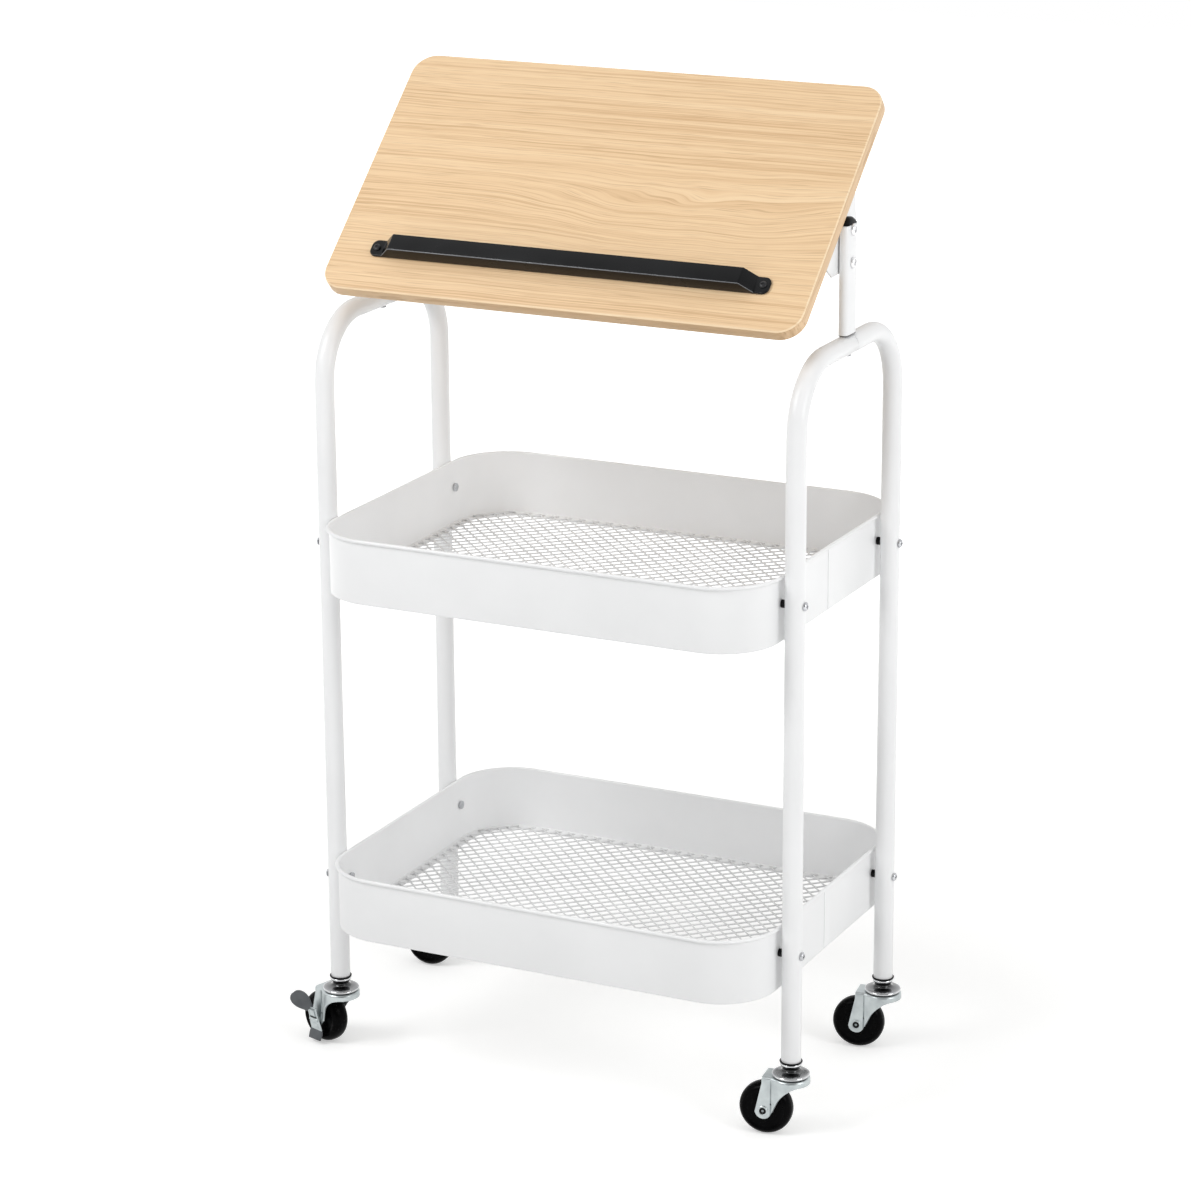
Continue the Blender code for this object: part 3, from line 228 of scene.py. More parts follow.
# %% One helper for coats, plating and mouldings
def coat(name, tones, roughness, metallic=0.0, grain_scale=900.0, cloud_scale=14.0,
         scratch_scale=60.0, bump=0.08, height=0.00002, worn=0.25, specular=0.5):
    material, tree, shader = start_material(name, tones[0], roughness[0], metallic)
    shader.inputs["Specular IOR Level"].default_value = specular
    fields = add_node(tree, "Group", node_tree=surface, Grain_Scale=grain_scale,
                      Cloud_Scale=cloud_scale, Scratch_Scale=scratch_scale)
    use_coordinates(fields, "Coordinates")
    spread = remap(tree, 0.35, 0.65)
    join(fields, "Cloud", spread, "Value")
    tone = blend(tree)
    for socket, colour in zip((MIX_FIRST, MIX_SECOND), tones):
        tone.inputs[socket].default_value = (*colour, 1)
    join(spread, "Result", tone, MIX_FACTOR)
    join(tone, MIX_COLOUR, shader, "Base Color")
    marks = calculate(tree, "MULTIPLY_ADD", worn)
    join(fields, "Scratch", marks, 0)
    join(spread, "Result", marks, 2)
    rough = remap(tree, 0.0, 1.0, *roughness)
    join(marks, "Value", rough, "Value")
    join(rough, "Result", shader, "Roughness")
    add_bump(tree, shader, fields, "Grain", Strength=bump, Distance=height)
    return material


# %% [markdown]
# ## Finishes of metal and plastic
# The frame and baskets are satin white powder coat. The fork is dull zinc, the swivel cup and race
# are bright chrome, the screws are plated steel, blackened on the ledge, and the small mouldings
# are black or dark grey.

# %% Metal and plastic finishes
white_coat = coat("white_powder_coat", ((0.905, 0.91, 0.915), (0.875, 0.88, 0.885)),
                  (0.28, 0.36), grain_scale=1400, cloud_scale=9, bump=0.10, height=0.00003,
                  worn=0.15)
# The expanded floor takes a darker copy of the white coat: painted shade for the shaded sides of
# its strands.
shaded_mesh_coat = coat("white_mesh_painted_shade", ((0.80, 0.805, 0.81), (0.72, 0.725, 0.73)), (0.34, 0.46),
                 grain_scale=1100, cloud_scale=30, bump=0.14, height=0.00004, worn=0.2)
zinc = coat("dull_zinc", ((0.57, 0.615, 0.62), (0.47, 0.51, 0.52)), (0.30, 0.40), 1.0,
            grain_scale=600, cloud_scale=70, scratch_scale=160, bump=0.06, height=0.00002)
# A darker copy of the zinc is painted shade: it goes in the fork's crease, on the strap's sunk mark
# and on the small boss in each rivet's bore.
shaded_zinc = coat("zinc_painted_shade", ((0.36, 0.40, 0.41), (0.28, 0.31, 0.32)), (0.30, 0.45),
                   1.0, grain_scale=600, cloud_scale=90, bump=0.06)
chrome = coat("bright_chrome", ((0.78, 0.79, 0.80), (0.68, 0.69, 0.71)), (0.07, 0.16), 1.0,
              grain_scale=500, cloud_scale=60, scratch_scale=200, bump=0.03, height=0.00001)
screw_steel = coat("plated_screw_steel", ((0.60, 0.61, 0.63), (0.46, 0.47, 0.49)), (0.22, 0.36),
                   1.0, grain_scale=1200, cloud_scale=160, bump=0.06, height=0.00001)
bright_screw = coat("bright_screw_steel", ((0.90, 0.90, 0.905), (0.80, 0.80, 0.81)), (0.34, 0.48),
                    1.0, grain_scale=1200, cloud_scale=160, bump=0.06, height=0.00001)
dark_screw = coat("blackened_screw", ((0.016, 0.016, 0.018), (0.03, 0.03, 0.033)), (0.25, 0.38),
                  grain_scale=1400, cloud_scale=160, bump=0.08, specular=0.35)
wheel_black = coat("hard_wheel_black", ((0.0009, 0.0009, 0.0010), (0.0022, 0.0022, 0.0025)),
                   (0.20, 0.32), grain_scale=1300, cloud_scale=45, scratch_scale=120, bump=0.06,
                   specular=0.035)
moulded_black = coat("moulded_black", ((0.003, 0.003, 0.0034), (0.007, 0.007, 0.0076)),
                     (0.30, 0.44), grain_scale=1800, cloud_scale=90, bump=0.10, specular=0.12)
brake_grey = coat("brake_pad_grey", ((0.085, 0.092, 0.100), (0.115, 0.122, 0.130)),
                  (0.36, 0.50), grain_scale=1800, cloud_scale=90, bump=0.10, specular=0.35)
ledge_black = coat("ledge_moulding", ((0.0030, 0.0032, 0.0038), (0.0060, 0.0064, 0.0074)),
                   (0.20, 0.30), grain_scale=1600, cloud_scale=18, bump=0.10, height=0.00003,
                   specular=0.22)
# The round along the ledge's front top edge takes a lower roughness and a lighter grey; the grey is
# a painted highlight.
ledge_highlight = coat("ledge_painted_highlight", ((0.10, 0.105, 0.115), (0.16, 0.165, 0.175)),
                   (0.12, 0.20), grain_scale=1600, cloud_scale=24, bump=0.05, specular=0.7)

# %% [markdown]
# The swivel's chrome carries painted shade and painted reflections. A ramp over the height above
# the floor multiplies the tone of the plating: dark in the neck and in the groove under the race,
# bright in bands on the race's rim and on the flared ring.

# %% Painted shade and painted highlights on the plating, by height
tree = chrome.node_tree
shader = tree.nodes["Principled BSDF"]
height_of = add_node(tree, "SeparateXYZ")
span = remap(tree, 0.0630, 0.0790)
shade = colour_ramp(tree, [(place, (value, value, value)) for place, value in (
    (0.0, 0.05), (0.07, 0.10), (0.12, 0.70), (0.23, 0.95), (0.275, 0.50), (0.33, 0.30),
    (0.39, 0.20), (0.46, 0.10), (0.60, 0.04), (0.72, 0.08), (0.82, 0.50), (0.88, 1.0),
    (1.0, 0.60))])
darker = blend(tree, blend_type="MULTIPLY")
darker.inputs[MIX_FACTOR].default_value = 1.0
tone = shader.inputs["Base Color"].links[0].from_node
use_coordinates(height_of)
join(height_of, "Z", span, "Value")
join(span, "Result", shade, "Fac")
join(tone, MIX_COLOUR, darker, MIX_FIRST)
join(shade, "Color", darker, MIX_SECOND)
join(darker, MIX_COLOUR, shader, "Base Color")
print("coats:", [m.name for m in bpy.data.materials])

# %% [markdown]
# ## Light oak
# The top is a board with a printed oak film. Oak seen flat-sawn has three scales: slow bands that
# bend round a few tall arches, finer lines that follow the bands, and short dark pores. The grain
# runs along X, so the pattern is squeezed across X. A Mapping node first lays the pattern on the
# tilted face, with its Y up the slope, and a slow noise pushes the lines to make them wander.

# %% The oak group: grain lines, pores and tone
wood, taken, given = start_group(
    "oak_film",
    [("Coordinates", "NodeSocketVector", None)],
    [("Bands", "NodeSocketFloat"), ("Lines", "NodeSocketFloat"), ("Pores", "NodeSocketFloat")])
wander_place = add_node(wood, "Mapping", Scale=(7.0, 24.0, 4.0))
wander = add_node(wood, "TexNoise", Scale=1.0, Detail=2.0, Roughness=0.45)
push = calculate(wood, "MULTIPLY_ADD")
heart_place = add_node(wood, "Mapping", Scale=(5.0, 17.0, 0.0))
heart_place.inputs["Location"].default_value = (-0.48, 0.40, 0)
heart_reach = add_node(wood, "VectorMath", operation="LENGTH")
heart = remap(wood, 0.15, 1.2, 0.038, 0.005, smooth=True)
join(taken, "Coordinates", heart_place, "Vector")
join(heart_place, "Vector", heart_reach, "Vector")
join(heart_reach, "Value", heart, "Value")
join(heart, "Result", push, 1)
split = add_node(wood, "SeparateXYZ")
merge = add_node(wood, "CombineXYZ")
join(taken, "Coordinates", wander_place, "Vector")
join(wander_place, "Vector", wander, "Vector")
join(taken, "Coordinates", split, "Vector")
join(wander, "Fac", push, 0)
join(split, "Y", push, 2)
join(split, "X", merge, "X")
join(push, "Value", merge, "Y")
join(split, "Z", merge, "Z")
for output, scale, detail, low, high in (
        ("Bands", (1.0, 42, 16), 2.0, 0.30, 0.70), ("Lines", (2.6, 520, 60), 3.0, 0.34, 0.66),
        ("Pores", (22, 1300, 200), 1.0, 0.56, 0.70)):
    squeeze = add_node(wood, "Mapping", Scale=scale)
    field = add_node(wood, "TexNoise", Scale=1.0, Detail=detail, Roughness=0.55)
    limits = remap(wood, low, high)
    join(merge, "Vector", squeeze, "Vector")
    join(squeeze, "Vector", field, "Vector")
    join(field, "Fac", limits, "Value")
    join(limits, "Result", given, output)
print("group:", wood.name, "with", len(wood.nodes), "nodes")


# %% The oak film, with darker edge copies for painted shade and a lighter one for a painted highlight
def oak(name, light, mid, dark, pore, roughness, turn):
    material, tree, shader = start_material(name, mid, roughness)
    lay = add_node(tree, "Mapping", vector_type="TEXTURE", Rotation=turn)
    lay.inputs["Location"].default_value = (MIDDLE_X, 0, PIVOT_HEIGHT)
    fields = add_node(tree, "Group", node_tree=wood)
    use_coordinates(lay)
    join(lay, "Vector", fields, "Coordinates")
    ramp = colour_ramp(tree, ((0, dark), (0.45, mid), (1, light)))
    weigh = calculate(tree, "MULTIPLY_ADD", 0.28)
    half = calculate(tree, "MULTIPLY", 0.72)
    join(fields, "Lines", half, 0)
    join(fields, "Bands", weigh, 0)
    join(half, "Value", weigh, 2)
    join(weigh, "Value", ramp, "Fac")
    pores = blend(tree)
    pores.inputs[MIX_SECOND].default_value = (*pore, 1)
    fainter = calculate(tree, "MULTIPLY", 0.42)
    join(fields, "Pores", fainter, 0)
    join(fainter, "Value", pores, MIX_FACTOR)
    join(ramp, "Color", pores, MIX_FIRST)
    join(pores, MIX_COLOUR, shader, "Base Color")
    gloss = remap(tree, 0.0, 1.0, roughness, roughness + 0.14)
    join(fields, "Pores", gloss, "Value")
    join(gloss, "Result", shader, "Roughness")
    add_bump(tree, shader, fields, "Pores", Strength=0.12, Distance=0.00005, invert=True)
    return material


oak_film = oak("oak_film_face", (0.930, 0.695, 0.435), (0.850, 0.598, 0.350),
               (0.670, 0.430, 0.225), (0.52, 0.32, 0.16), 0.38, (TILT, 0, 0))
# The edge tones are darker than the face: painted shade on the board's sides. The grain on them is
# real.
SHADED_EDGE_TONES = ((0.800, 0.570, 0.345), (0.700, 0.475, 0.270), (0.590, 0.385, 0.205),
              (0.42, 0.25, 0.13))
oak_edge_shade = oak("oak_edge_painted_shade", *SHADED_EDGE_TONES, 0.42, (TILT, 0, 0))
oak_end_shade = oak("oak_end_painted_shade", *SHADED_EDGE_TONES, 0.42, (0, -TILT, pi / 2))
# A lighter copy of the oak for the small round along the edges: a painted highlight.
oak_highlight = oak("oak_painted_highlight", (0.980, 0.800, 0.560), (0.950, 0.740, 0.490),
                (0.880, 0.640, 0.390), (0.70, 0.48, 0.28), 0.34, (TILT, 0, 0))

# %% [markdown]
# ## Floor and light
# The photograph is a studio cut-out: a white ground with soft contact shadows. The floor is a pale
# diffuse plane that adds a little white of its own to what the camera and mirrors see, so it reads
# as white and keeps its shadows, and no more light falls on the table. The world is a dim dome,
# brighter from the right for diffuse light and brighter from behind for reflections, and the camera
# sees it white. Three soft lamps give the tubes and baskets their shading.

# %% Floor
bpy.ops.object.select_all(action="DESELECT")
bpy.ops.mesh.primitive_plane_add(size=14, location=(0, 0, 0))
floor = bpy.context.object
floor.name = "studio_floor"
floor_paint, tree, shader = start_material("studio_floor_paint", (0.80, 0.80, 0.795), 0.9)
shader.inputs["Specular IOR Level"].default_value = 0.0
ray, either = ask_ray(tree)
glow = add_node(tree, "Emission")
glow.inputs["Color"].default_value = (1, 1, 0.995, 1)
reach = add_node(tree, "VectorMath", operation="LENGTH")
whiter = remap(tree, 0.35, 1.7, 0.40, 1.0, smooth=True)
level = calculate(tree, "MULTIPLY")
both = add_node(tree, "AddShader")
use_coordinates(reach)
join(reach, "Value", whiter, "Value")
join(either, "Value", level, 0)
join(whiter, "Result", level, 1)
join(level, "Value", glow, "Strength")
join(shader, "BSDF", both, 0)
join(glow, "Emission", both, 1)
join(both, "Shader", tree.nodes["Material Output"], "Surface")
floor.data.materials.append(floor_paint)

# %% World and lamps
bpy.context.scene.view_settings.view_transform = "Standard"
world = bpy.data.worlds.new("studio_dome")
bpy.context.scene.world = world
world.use_nodes = True
tree = world.node_tree
dome = tree.nodes["Background"]
dome.inputs["Color"].default_value = (1, 1, 1, 1)
ray, either = ask_ray(tree)
strength = remap(tree, 0.0, 1.0)
look = add_node(tree, "NewGeometry")
leftward = add_node(tree, "VectorMath", operation="DOT_PRODUCT")
leftward.inputs[1].default_value = (1, 0, 0)
sides = remap(tree, -1, 1, 0.72, 0.36)
join(look, "Incoming", leftward, 0)
join(leftward, "Value", sides, "Value")
join(sides, "Result", strength, "To Min")
rearward = add_node(tree, "VectorMath", operation="DOT_PRODUCT")
rearward.inputs[1].default_value = (0.45, -0.89, 0)
room = remap(tree, -0.75, 0.15, 0.25, 1.0, smooth=True)
backdrop = calculate(tree, "MAXIMUM")
through = calculate(tree, "MAXIMUM")
join(look, "Incoming", rearward, 0)
join(rearward, "Value", room, "Value")
join(either, "Value", through, 0)
join(ray, "Is Transmission Ray", through, 1)
join(through, "Value", strength, "Value")
join(room, "Result", backdrop, 0)
join(ray, "Is Camera Ray", backdrop, 1)
join(backdrop, "Value", strength, "To Max")
join(strength, "Result", dome, "Strength")


def soft_lamp(name, place, aim, size, power):
    data = bpy.data.lights.new(name, "AREA")
    data.shape = "DISK"
    data.size = size
    data.energy = power
    lamp = bpy.data.objects.new(name, data)
    bpy.context.scene.collection.objects.link(lamp)
    lamp.location = place
    lamp.rotation_euler = (Vector(aim) - Vector(place)).to_track_quat("-Z", "Y").to_euler()
    return lamp


soft_lamp("key_lamp", (-1.5, -2.0, 2.6), (0, 0, 0.6), 1.6, 41)
soft_lamp("side_lamp", (3.2, -0.6, 1.6), (0, 0, 0.4), 1.8, 34)
soft_lamp("front_lamp", (-0.5, -3.6, 1.0), (0, 0, 0.5), 2.0, 5)
print("lamps:", len(bpy.data.lights))

# %% [markdown]
# ## Modelling helpers
# All pieces but the brackets start as a primitive and are shaped in edit mode. These helpers open a
# piece with nothing picked, pick points, edges or faces by their place and direction, and close it
# again.

# %% Helpers for edit mode
def deselect_everything():
    if bpy.context.object and bpy.context.object.mode != "OBJECT":
        bpy.ops.object.mode_set(mode="OBJECT")
    bpy.ops.object.select_all(action="DESELECT")


def choose(piece):
    deselect_everything()
    piece.select_set(True)
    bpy.context.view_layer.objects.active = piece


def take_up(piece):
    choose(piece)
    bpy.ops.object.mode_set(mode="EDIT")
    bpy.ops.mesh.select_mode(type="VERT")
    bpy.ops.mesh.select_all(action="DESELECT")


def select_all():
    bpy.ops.mesh.select_all(action="SELECT")


def put_down():
    bpy.ops.object.mode_set(mode="OBJECT")


def close_up(merge=0.0):
    """Merges doubled points within a distance, turns the normals outwards and leaves edit mode."""
    select_all()
    if merge:
        bpy.ops.mesh.remove_doubles(threshold=merge)
    bpy.ops.mesh.normals_make_consistent(inside=False)
    put_down()


def open_new(name):
    """Names the primitive just added and opens it with nothing picked."""
    piece = bpy.context.object
    piece.name = name
    take_up(piece)
    return piece


def circle_piece(name, radius, sides=32):
    deselect_everything()
    bpy.ops.mesh.primitive_circle_add(vertices=sides, radius=radius, fill_type="NOTHING")
    return open_new(name)


def plane_piece(name):
    deselect_everything()
    bpy.ops.mesh.primitive_plane_add(size=2)
    return open_new(name)


def pick(piece, kind, wanted):
    """Selects the VERT, EDGE or FACE parts whose middle and direction pass the test."""
    bpy.ops.mesh.select_mode(type=kind)
    bpy.ops.mesh.select_all(action="DESELECT")
    shape = bmesh.from_edit_mesh(piece.data)
    shape.normal_update()
    if kind == "VERT":
        parts = [(part, part.co, part.normal) for part in shape.verts]
    elif kind == "EDGE":
        parts = [(part, (part.verts[0].co + part.verts[1].co) / 2,
                  (part.verts[1].co - part.verts[0].co).normalized()) for part in shape.edges]
    else:
        parts = [(part, part.calc_center_median(), part.normal) for part in shape.faces]
    chosen = [part for part, middle, direction in parts if wanted(middle, direction)]
    for part in chosen:
        part.select = True
    shape.select_flush_mode()
    bmesh.update_edit_mesh(piece.data)
    return len(chosen)


def pull(x=0.0, y=0.0, z=0.0):
    bpy.ops.mesh.extrude_region_move(TRANSFORM_OT_translate={"value": (x, y, z)})


def shift(x=0.0, y=0.0, z=0.0):
    bpy.ops.transform.translate(value=(x, y, z))


def grow(x, y, z, centre):
    bpy.ops.transform.resize(value=(x, y, z), center_override=centre)


def modify(piece, kind, **settings):
    """Adds a modifier and applies it at once."""
    choose(piece)
    step = piece.modifiers.new(kind.lower(), kind)
    for name, value in settings.items():
        setattr(step, name, value)
    bpy.ops.object.modifier_apply(modifier=step.name)


def soften(piece, width, segments=2, degrees=50):
    """Rounds every edge that is sharper than an angle."""
    modify(piece, "BEVEL", width=width, segments=segments, limit_method="ANGLE",
           angle_limit=radians(degrees))


def smooth(piece, degrees=35):
    choose(piece)
    bpy.ops.object.shade_smooth_by_angle(angle=radians(degrees))


def paint(piece, index, wanted):
    """Gives the faces that pass the test one of the piece's materials."""
    take_up(piece)
    count = pick(piece, "FACE", wanted)
    piece.active_material_index = index
    bpy.ops.object.material_slot_assign()
    put_down()
    return count


# %% [markdown]
# A pattern piece is made once at the origin in its own axes. Each copy is duplicated with its own
# mesh, carried to its place, and its place is applied so that the finished object sits at the
# origin. Then it rides its body and stands for its CAD node.

# %% Helpers that place and finish pieces
BODY_OF = {node: body for body, nodes in frame["record"]["behaviour"]["bodies"].items()
           for node in nodes}


def copy_to(pattern, name, place):
    choose(pattern)
    bpy.ops.object.duplicate(linked=False)
    copy = bpy.context.object
    copy.name = name
    copy.data.name = name
    copy.matrix_world = place
    bpy.ops.object.transform_apply(location=True, rotation=True, scale=True)
    return copy


def finish_piece(piece, material, slot, *nodes):
    if material is not None:
        piece.data.materials.clear()
        piece.data.materials.append(material)
    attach(piece, BODY_OF[nodes[0]])
    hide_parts(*nodes)
    return piece


def discard(*patterns):
    deselect_everything()
    for pattern in patterns:
        pattern.select_set(True)
    bpy.ops.object.delete()


def at(x, y, z, turn=0.0, axis="Z"):
    return Matrix.Translation((MIDDLE_X + x, y, z)) @ Matrix.Rotation(turn, 4, axis)


def place_piece(pattern, name, place, material, slot, node):
    return finish_piece(copy_to(pattern, name, place), material, slot, node)


def place_at_sides(pattern, name, y, z, material, slot, node):
    """Finishes a copy at each side of the frame and drops the pattern."""
    for side, sign in SIDES.items():
        place_piece(pattern, name + side, at(sign * LEG_X, y, z), material, slot, node + side)
    discard(pattern)


def place_in_baskets(pattern, name, material, slot, node):
    """Finishes a copy at the height of each basket and drops the pattern."""
    for level, height in BASKETS.items():
        piece = place_piece(pattern, name + level, at(0, 0, height), material, slot, node + level)
        print(piece.name, len(piece.data.polygons), "faces")
    discard(pattern)


# %% [markdown]
# ## Turned pieces
# Screws, cups, wheels and sleeves are round. A circle is drawn out ring by ring to each radius and
# height of a profile, as on a lathe. A solid piece has both ends filled. A piece with a bore comes
# back to its first ring, and the two rings are merged.

# %% Helpers for turned pieces
def mm(points, level=0.0):
    """Radii and heights given in millimetres, with the heights counted from a level in metres."""
    return [(radius / 1000, level + height / 1000) for radius, height in points]


def turn_profile(name, profile, sides=48, bored=False, bevel=0.0, degrees=35):
    first_radius, first_height = profile[0]
    piece = circle_piece(name, first_radius, sides)
    select_all()
    shift(z=first_height)
    if bored:
        profile = profile + profile[:1]
    for (radius, height), (next_radius, next_height) in zip(profile, profile[1:]):
        pull(z=next_height - height)
        ratio = next_radius / radius
        grow(ratio, ratio, 1, (0, 0, next_height))
    if not bored:
        bpy.ops.mesh.select_mode(type="EDGE")
        bpy.ops.mesh.select_all(action="DESELECT")
        bpy.ops.mesh.select_non_manifold(extend=False)
        bpy.ops.mesh.fill_holes(sides=0)
    close_up(MERGE)
    if bevel:
        soften(piece, bevel, degrees=40)
    smooth(piece, degrees)
    return piece


def lay_along(piece, axis):
    """Turns a piece made along Z on to another axis, with its +Z end at that axis's + end."""
    choose(piece)
    piece.rotation_euler = {"X": (0, pi / 2, 0), "Y": (-pi / 2, 0, 0)}[axis]
    bpy.ops.object.transform_apply(location=False, rotation=True, scale=False)


# %% [markdown]
# ## Side frames
# Each side of the frame is one arch of round tube, made of two halves. The front half ends in a
# clean edge on the top bar, and the rear half is necked down to plug into it, which shows as a thin
# seam; a black ring sunk in it is painted shadow. A circle is pulled up the leg, spun round the
# bend and pulled along the bar. Solidify then gives the tube its real wall, so the open ends show
# their thickness.

# %% The two tube halves
EDGE_ROUND = 0.0003
NECK_STEP, NECK_REACH = 0.002, 0.020
SEAM_WIDTH, SEAM_IN, SEAM_OUT = 0.0012, TUBE_RADIUS - 0.0011, TUBE_RADIUS - 0.0005


def tube_half(name, bar_end, neck=False):
    """The front half of a side frame at the origin of its side; a neck makes it the rear one."""
    piece = circle_piece(name, TUBE_RADIUS)
    select_all()
    shift(y=-LEG_Y, z=LEG_FOOT)
    bend_z = TOP_BAR - BEND
    for part in range(8):
        pull(z=(bend_z - LEG_FOOT) / 8)
    bpy.ops.mesh.spin(steps=16, angle=pi / 2, center=(0, -LEG_Y + BEND, bend_z), axis=(1, 0, 0))
    if max(v.co.z for v in bmesh.from_edit_mesh(piece.data).verts) < TOP_BAR:
        raise RuntimeError("the tube was spun the wrong way")
    pull(y=bar_end + LEG_Y - BEND)
    if neck:
        ratio = (TUBE_RADIUS - TUBE_WALL - GAP) / TUBE_RADIUS
        for part in range(3):
            pull(y=NECK_STEP)
            step = (1 - (1 - ratio) * (part + 1) / 3) / (1 - (1 - ratio) * part / 3)
            grow(step, 1, step, (0, 0, TOP_BAR))
        pull(y=NECK_REACH)
    close_up(MERGE)
    modify(piece, "SOLIDIFY", thickness=TUBE_WALL, offset=-1)
    soften(piece, EDGE_ROUND)
    smooth(piece, 40)
    return piece


front_half = tube_half("front_half", SEAM_Y - 0.0008)
back_half = tube_half("back_half", -SEAM_Y - 0.006 - GAP, neck=True)
for side, sign in SIDES.items():
    place_piece(front_half, "tube_front_" + side, at(sign * LEG_X, 0, 0), white_coat, "white_paint",
                "side_frame_front_" + side)
    tube = place_piece(back_half, "tube_back_" + side, at(sign * LEG_X, 0, 0, pi), white_coat,
                       "white_paint", "side_frame_back_" + side)
    print("tube halves", side, len(tube.data.polygons), "faces each")
# A black ring sunk in the seam is painted shadow in the gap between the halves.
seam = turn_profile("seam_pattern", [(SEAM_IN, -SEAM_WIDTH / 2), (SEAM_OUT, -SEAM_WIDTH / 2),
                                     (SEAM_OUT, SEAM_WIDTH / 2), (SEAM_IN, SEAM_WIDTH / 2)],
                    32, bored=True)
lay_along(seam, "Y")
place_at_sides(seam, "seam_shadow_ring_", SEAM_Y - 0.0004, TOP_BAR, moulded_black, "white_paint",
               "side_frame_front_")
discard(front_half, back_half)

# %% [markdown]
# ## Posts and caps
# The posts are flat-oval tubes. A round tube pressed flat keeps its round ends, so a circle is
# split in two by moving its front and back halves apart, then pulled upwards. The lowest millimetre
# is painted black as shadow, where the post meets the top bar. The cap is a domed moulding in
# shrinking rings.

# %% Posts
POST_THICKNESS = 0.010
POST_DEPTH = 0.027
POST_FOOT = TOP_BAR + TUBE_RADIUS + GAP
POST_TOP = PIVOT_HEIGHT + 0.0045
FOOT_SHADOW = 0.0009


def oval_ring(name, height):
    """A flat oval: a circle with its front and back halves moved apart."""
    piece = circle_piece(name, POST_THICKNESS / 2)
    reach = POST_DEPTH / 2 - POST_THICKNESS / 2
    for sign in (1, -1):
        pick(piece, "VERT", lambda p, n: p.y * sign > 1e-5)
        shift(y=sign * reach)
    select_all()
    shift(z=height)
    return piece


post = oval_ring("post_pattern", POST_FOOT)
pull(z=FOOT_SHADOW)
for part in range(4):
    pull(z=(POST_TOP - POST_FOOT - FOOT_SHADOW) / 4)
close_up()
modify(post, "SOLIDIFY", thickness=TUBE_WALL, offset=-1)
soften(post, EDGE_ROUND)
smooth(post, 40)
post.data.materials.append(white_coat)
post.data.materials.append(moulded_black)
# The lowest millimetre is painted black: a painted shadow where the post meets the top bar.
print("painted foot shadow faces:", paint(post, 1, lambda p, n: p.z < POST_FOOT + FOOT_SHADOW))
place_at_sides(post, "post_tube_", 0, 0, None, "white_paint", "post_")

# %% Post caps
CAP_RISE = 0.0070
CAP_SECTIONS = ((0.10, 0.98, 1.0), (0.28, 0.84, 0.95), (0.48, 0.70, 0.87), (0.67, 0.56, 0.76),
                (0.84, 0.42, 0.62), (0.95, 0.30, 0.44), (1.0, 0.18, 0.26))
cap_base = POST_TOP + GAP
cap = oval_ring("cap_pattern", cap_base)
before = (0.0, 1.0, 1.0)
for section in CAP_SECTIONS:
    rise, depth_share, thickness_share = section
    pull(z=CAP_RISE * (rise - before[0]))
    grow(thickness_share / before[2], depth_share / before[1], 1, (0, 0, cap_base))
    before = section
bpy.ops.mesh.select_non_manifold(extend=False)
bpy.ops.mesh.fill_holes(sides=0)
close_up()
soften(cap, 0.0004, degrees=60)
smooth(cap, 50)
place_at_sides(cap, "post_end_cap_", 0, 0, moulded_black, "black_plastic", "post_cap_")

# %% [markdown]
# ## Wooden top
# The board is one slab with large corner rounds and a small round along each edge. It is made flat
# in its own axes, from a cube whose four upright edges are bevelled, and only then tilted with the
# same turn as the hinge. The flat faces take the oak film. The long edges and the ends take a
# darker copy each, with its own direction of the grain, and the darker tone is painted shade. The
# small round between them takes a lighter copy, a painted highlight.

# %% The board
TOP_WIDTH, TOP_DEPTH, TOP_THICKNESS = 0.515, 0.2935, 0.0145
TOP_CORNER, TOP_ROUND = 0.024, 0.0022
TOP_UNDERSIDE = 0.014
TOP_FORWARD = 0.0026
hinge = Matrix.Translation((MIDDLE_X, 0, PIVOT_HEIGHT)) @ Matrix.Rotation(TILT, 4, "X")


def cube_piece(name, width, depth, height, centre=(0, 0, 0)):
    deselect_everything()
    bpy.ops.mesh.primitive_cube_add(size=1)
    piece = open_new(name)
    select_all()
    grow(width, depth, height, (0, 0, 0))
    shift(*centre)
    return piece


board = cube_piece("board_pattern", TOP_WIDTH, TOP_DEPTH, TOP_THICKNESS,
                   (0, TOP_FORWARD, TOP_UNDERSIDE + TOP_THICKNESS / 2))
print("upright edges:", pick(board, "EDGE", lambda p, d: abs(d.z) > 0.9))
bpy.ops.mesh.bevel(offset=TOP_CORNER, segments=14, affect="EDGES")
pick(board, "EDGE", lambda p, d: abs(d.z) < 0.1)
bpy.ops.mesh.bevel(offset=TOP_ROUND, segments=4, affect="EDGES")
put_down()
smooth(board, 30)
for material in (oak_film, oak_edge_shade, oak_end_shade, oak_highlight):
    board.data.materials.append(material)
for index, low, high, slant in ((1, 0.0, 0.42, 0.0), (2, 0.0, 0.42, 0.7), (3, 0.42, 0.97, 0.0)):
    print("edge faces:", paint(board, index, lambda p, n: low <= abs(n.z) < high
                               and abs(n.x) >= slant))
place_piece(board, "wooden_top", hinge, None, "oak", "tabletop")
discard(board)

# %% [markdown]
# ## Ledge
# The ledge is a moulded bar, screwed down through a low flange at each end. A cube makes the middle
# bar. Its end faces are pulled out and their upper edges dropped to make the ramps, then pulled out
# again for the flanges, whose upright corners are bevelled round.

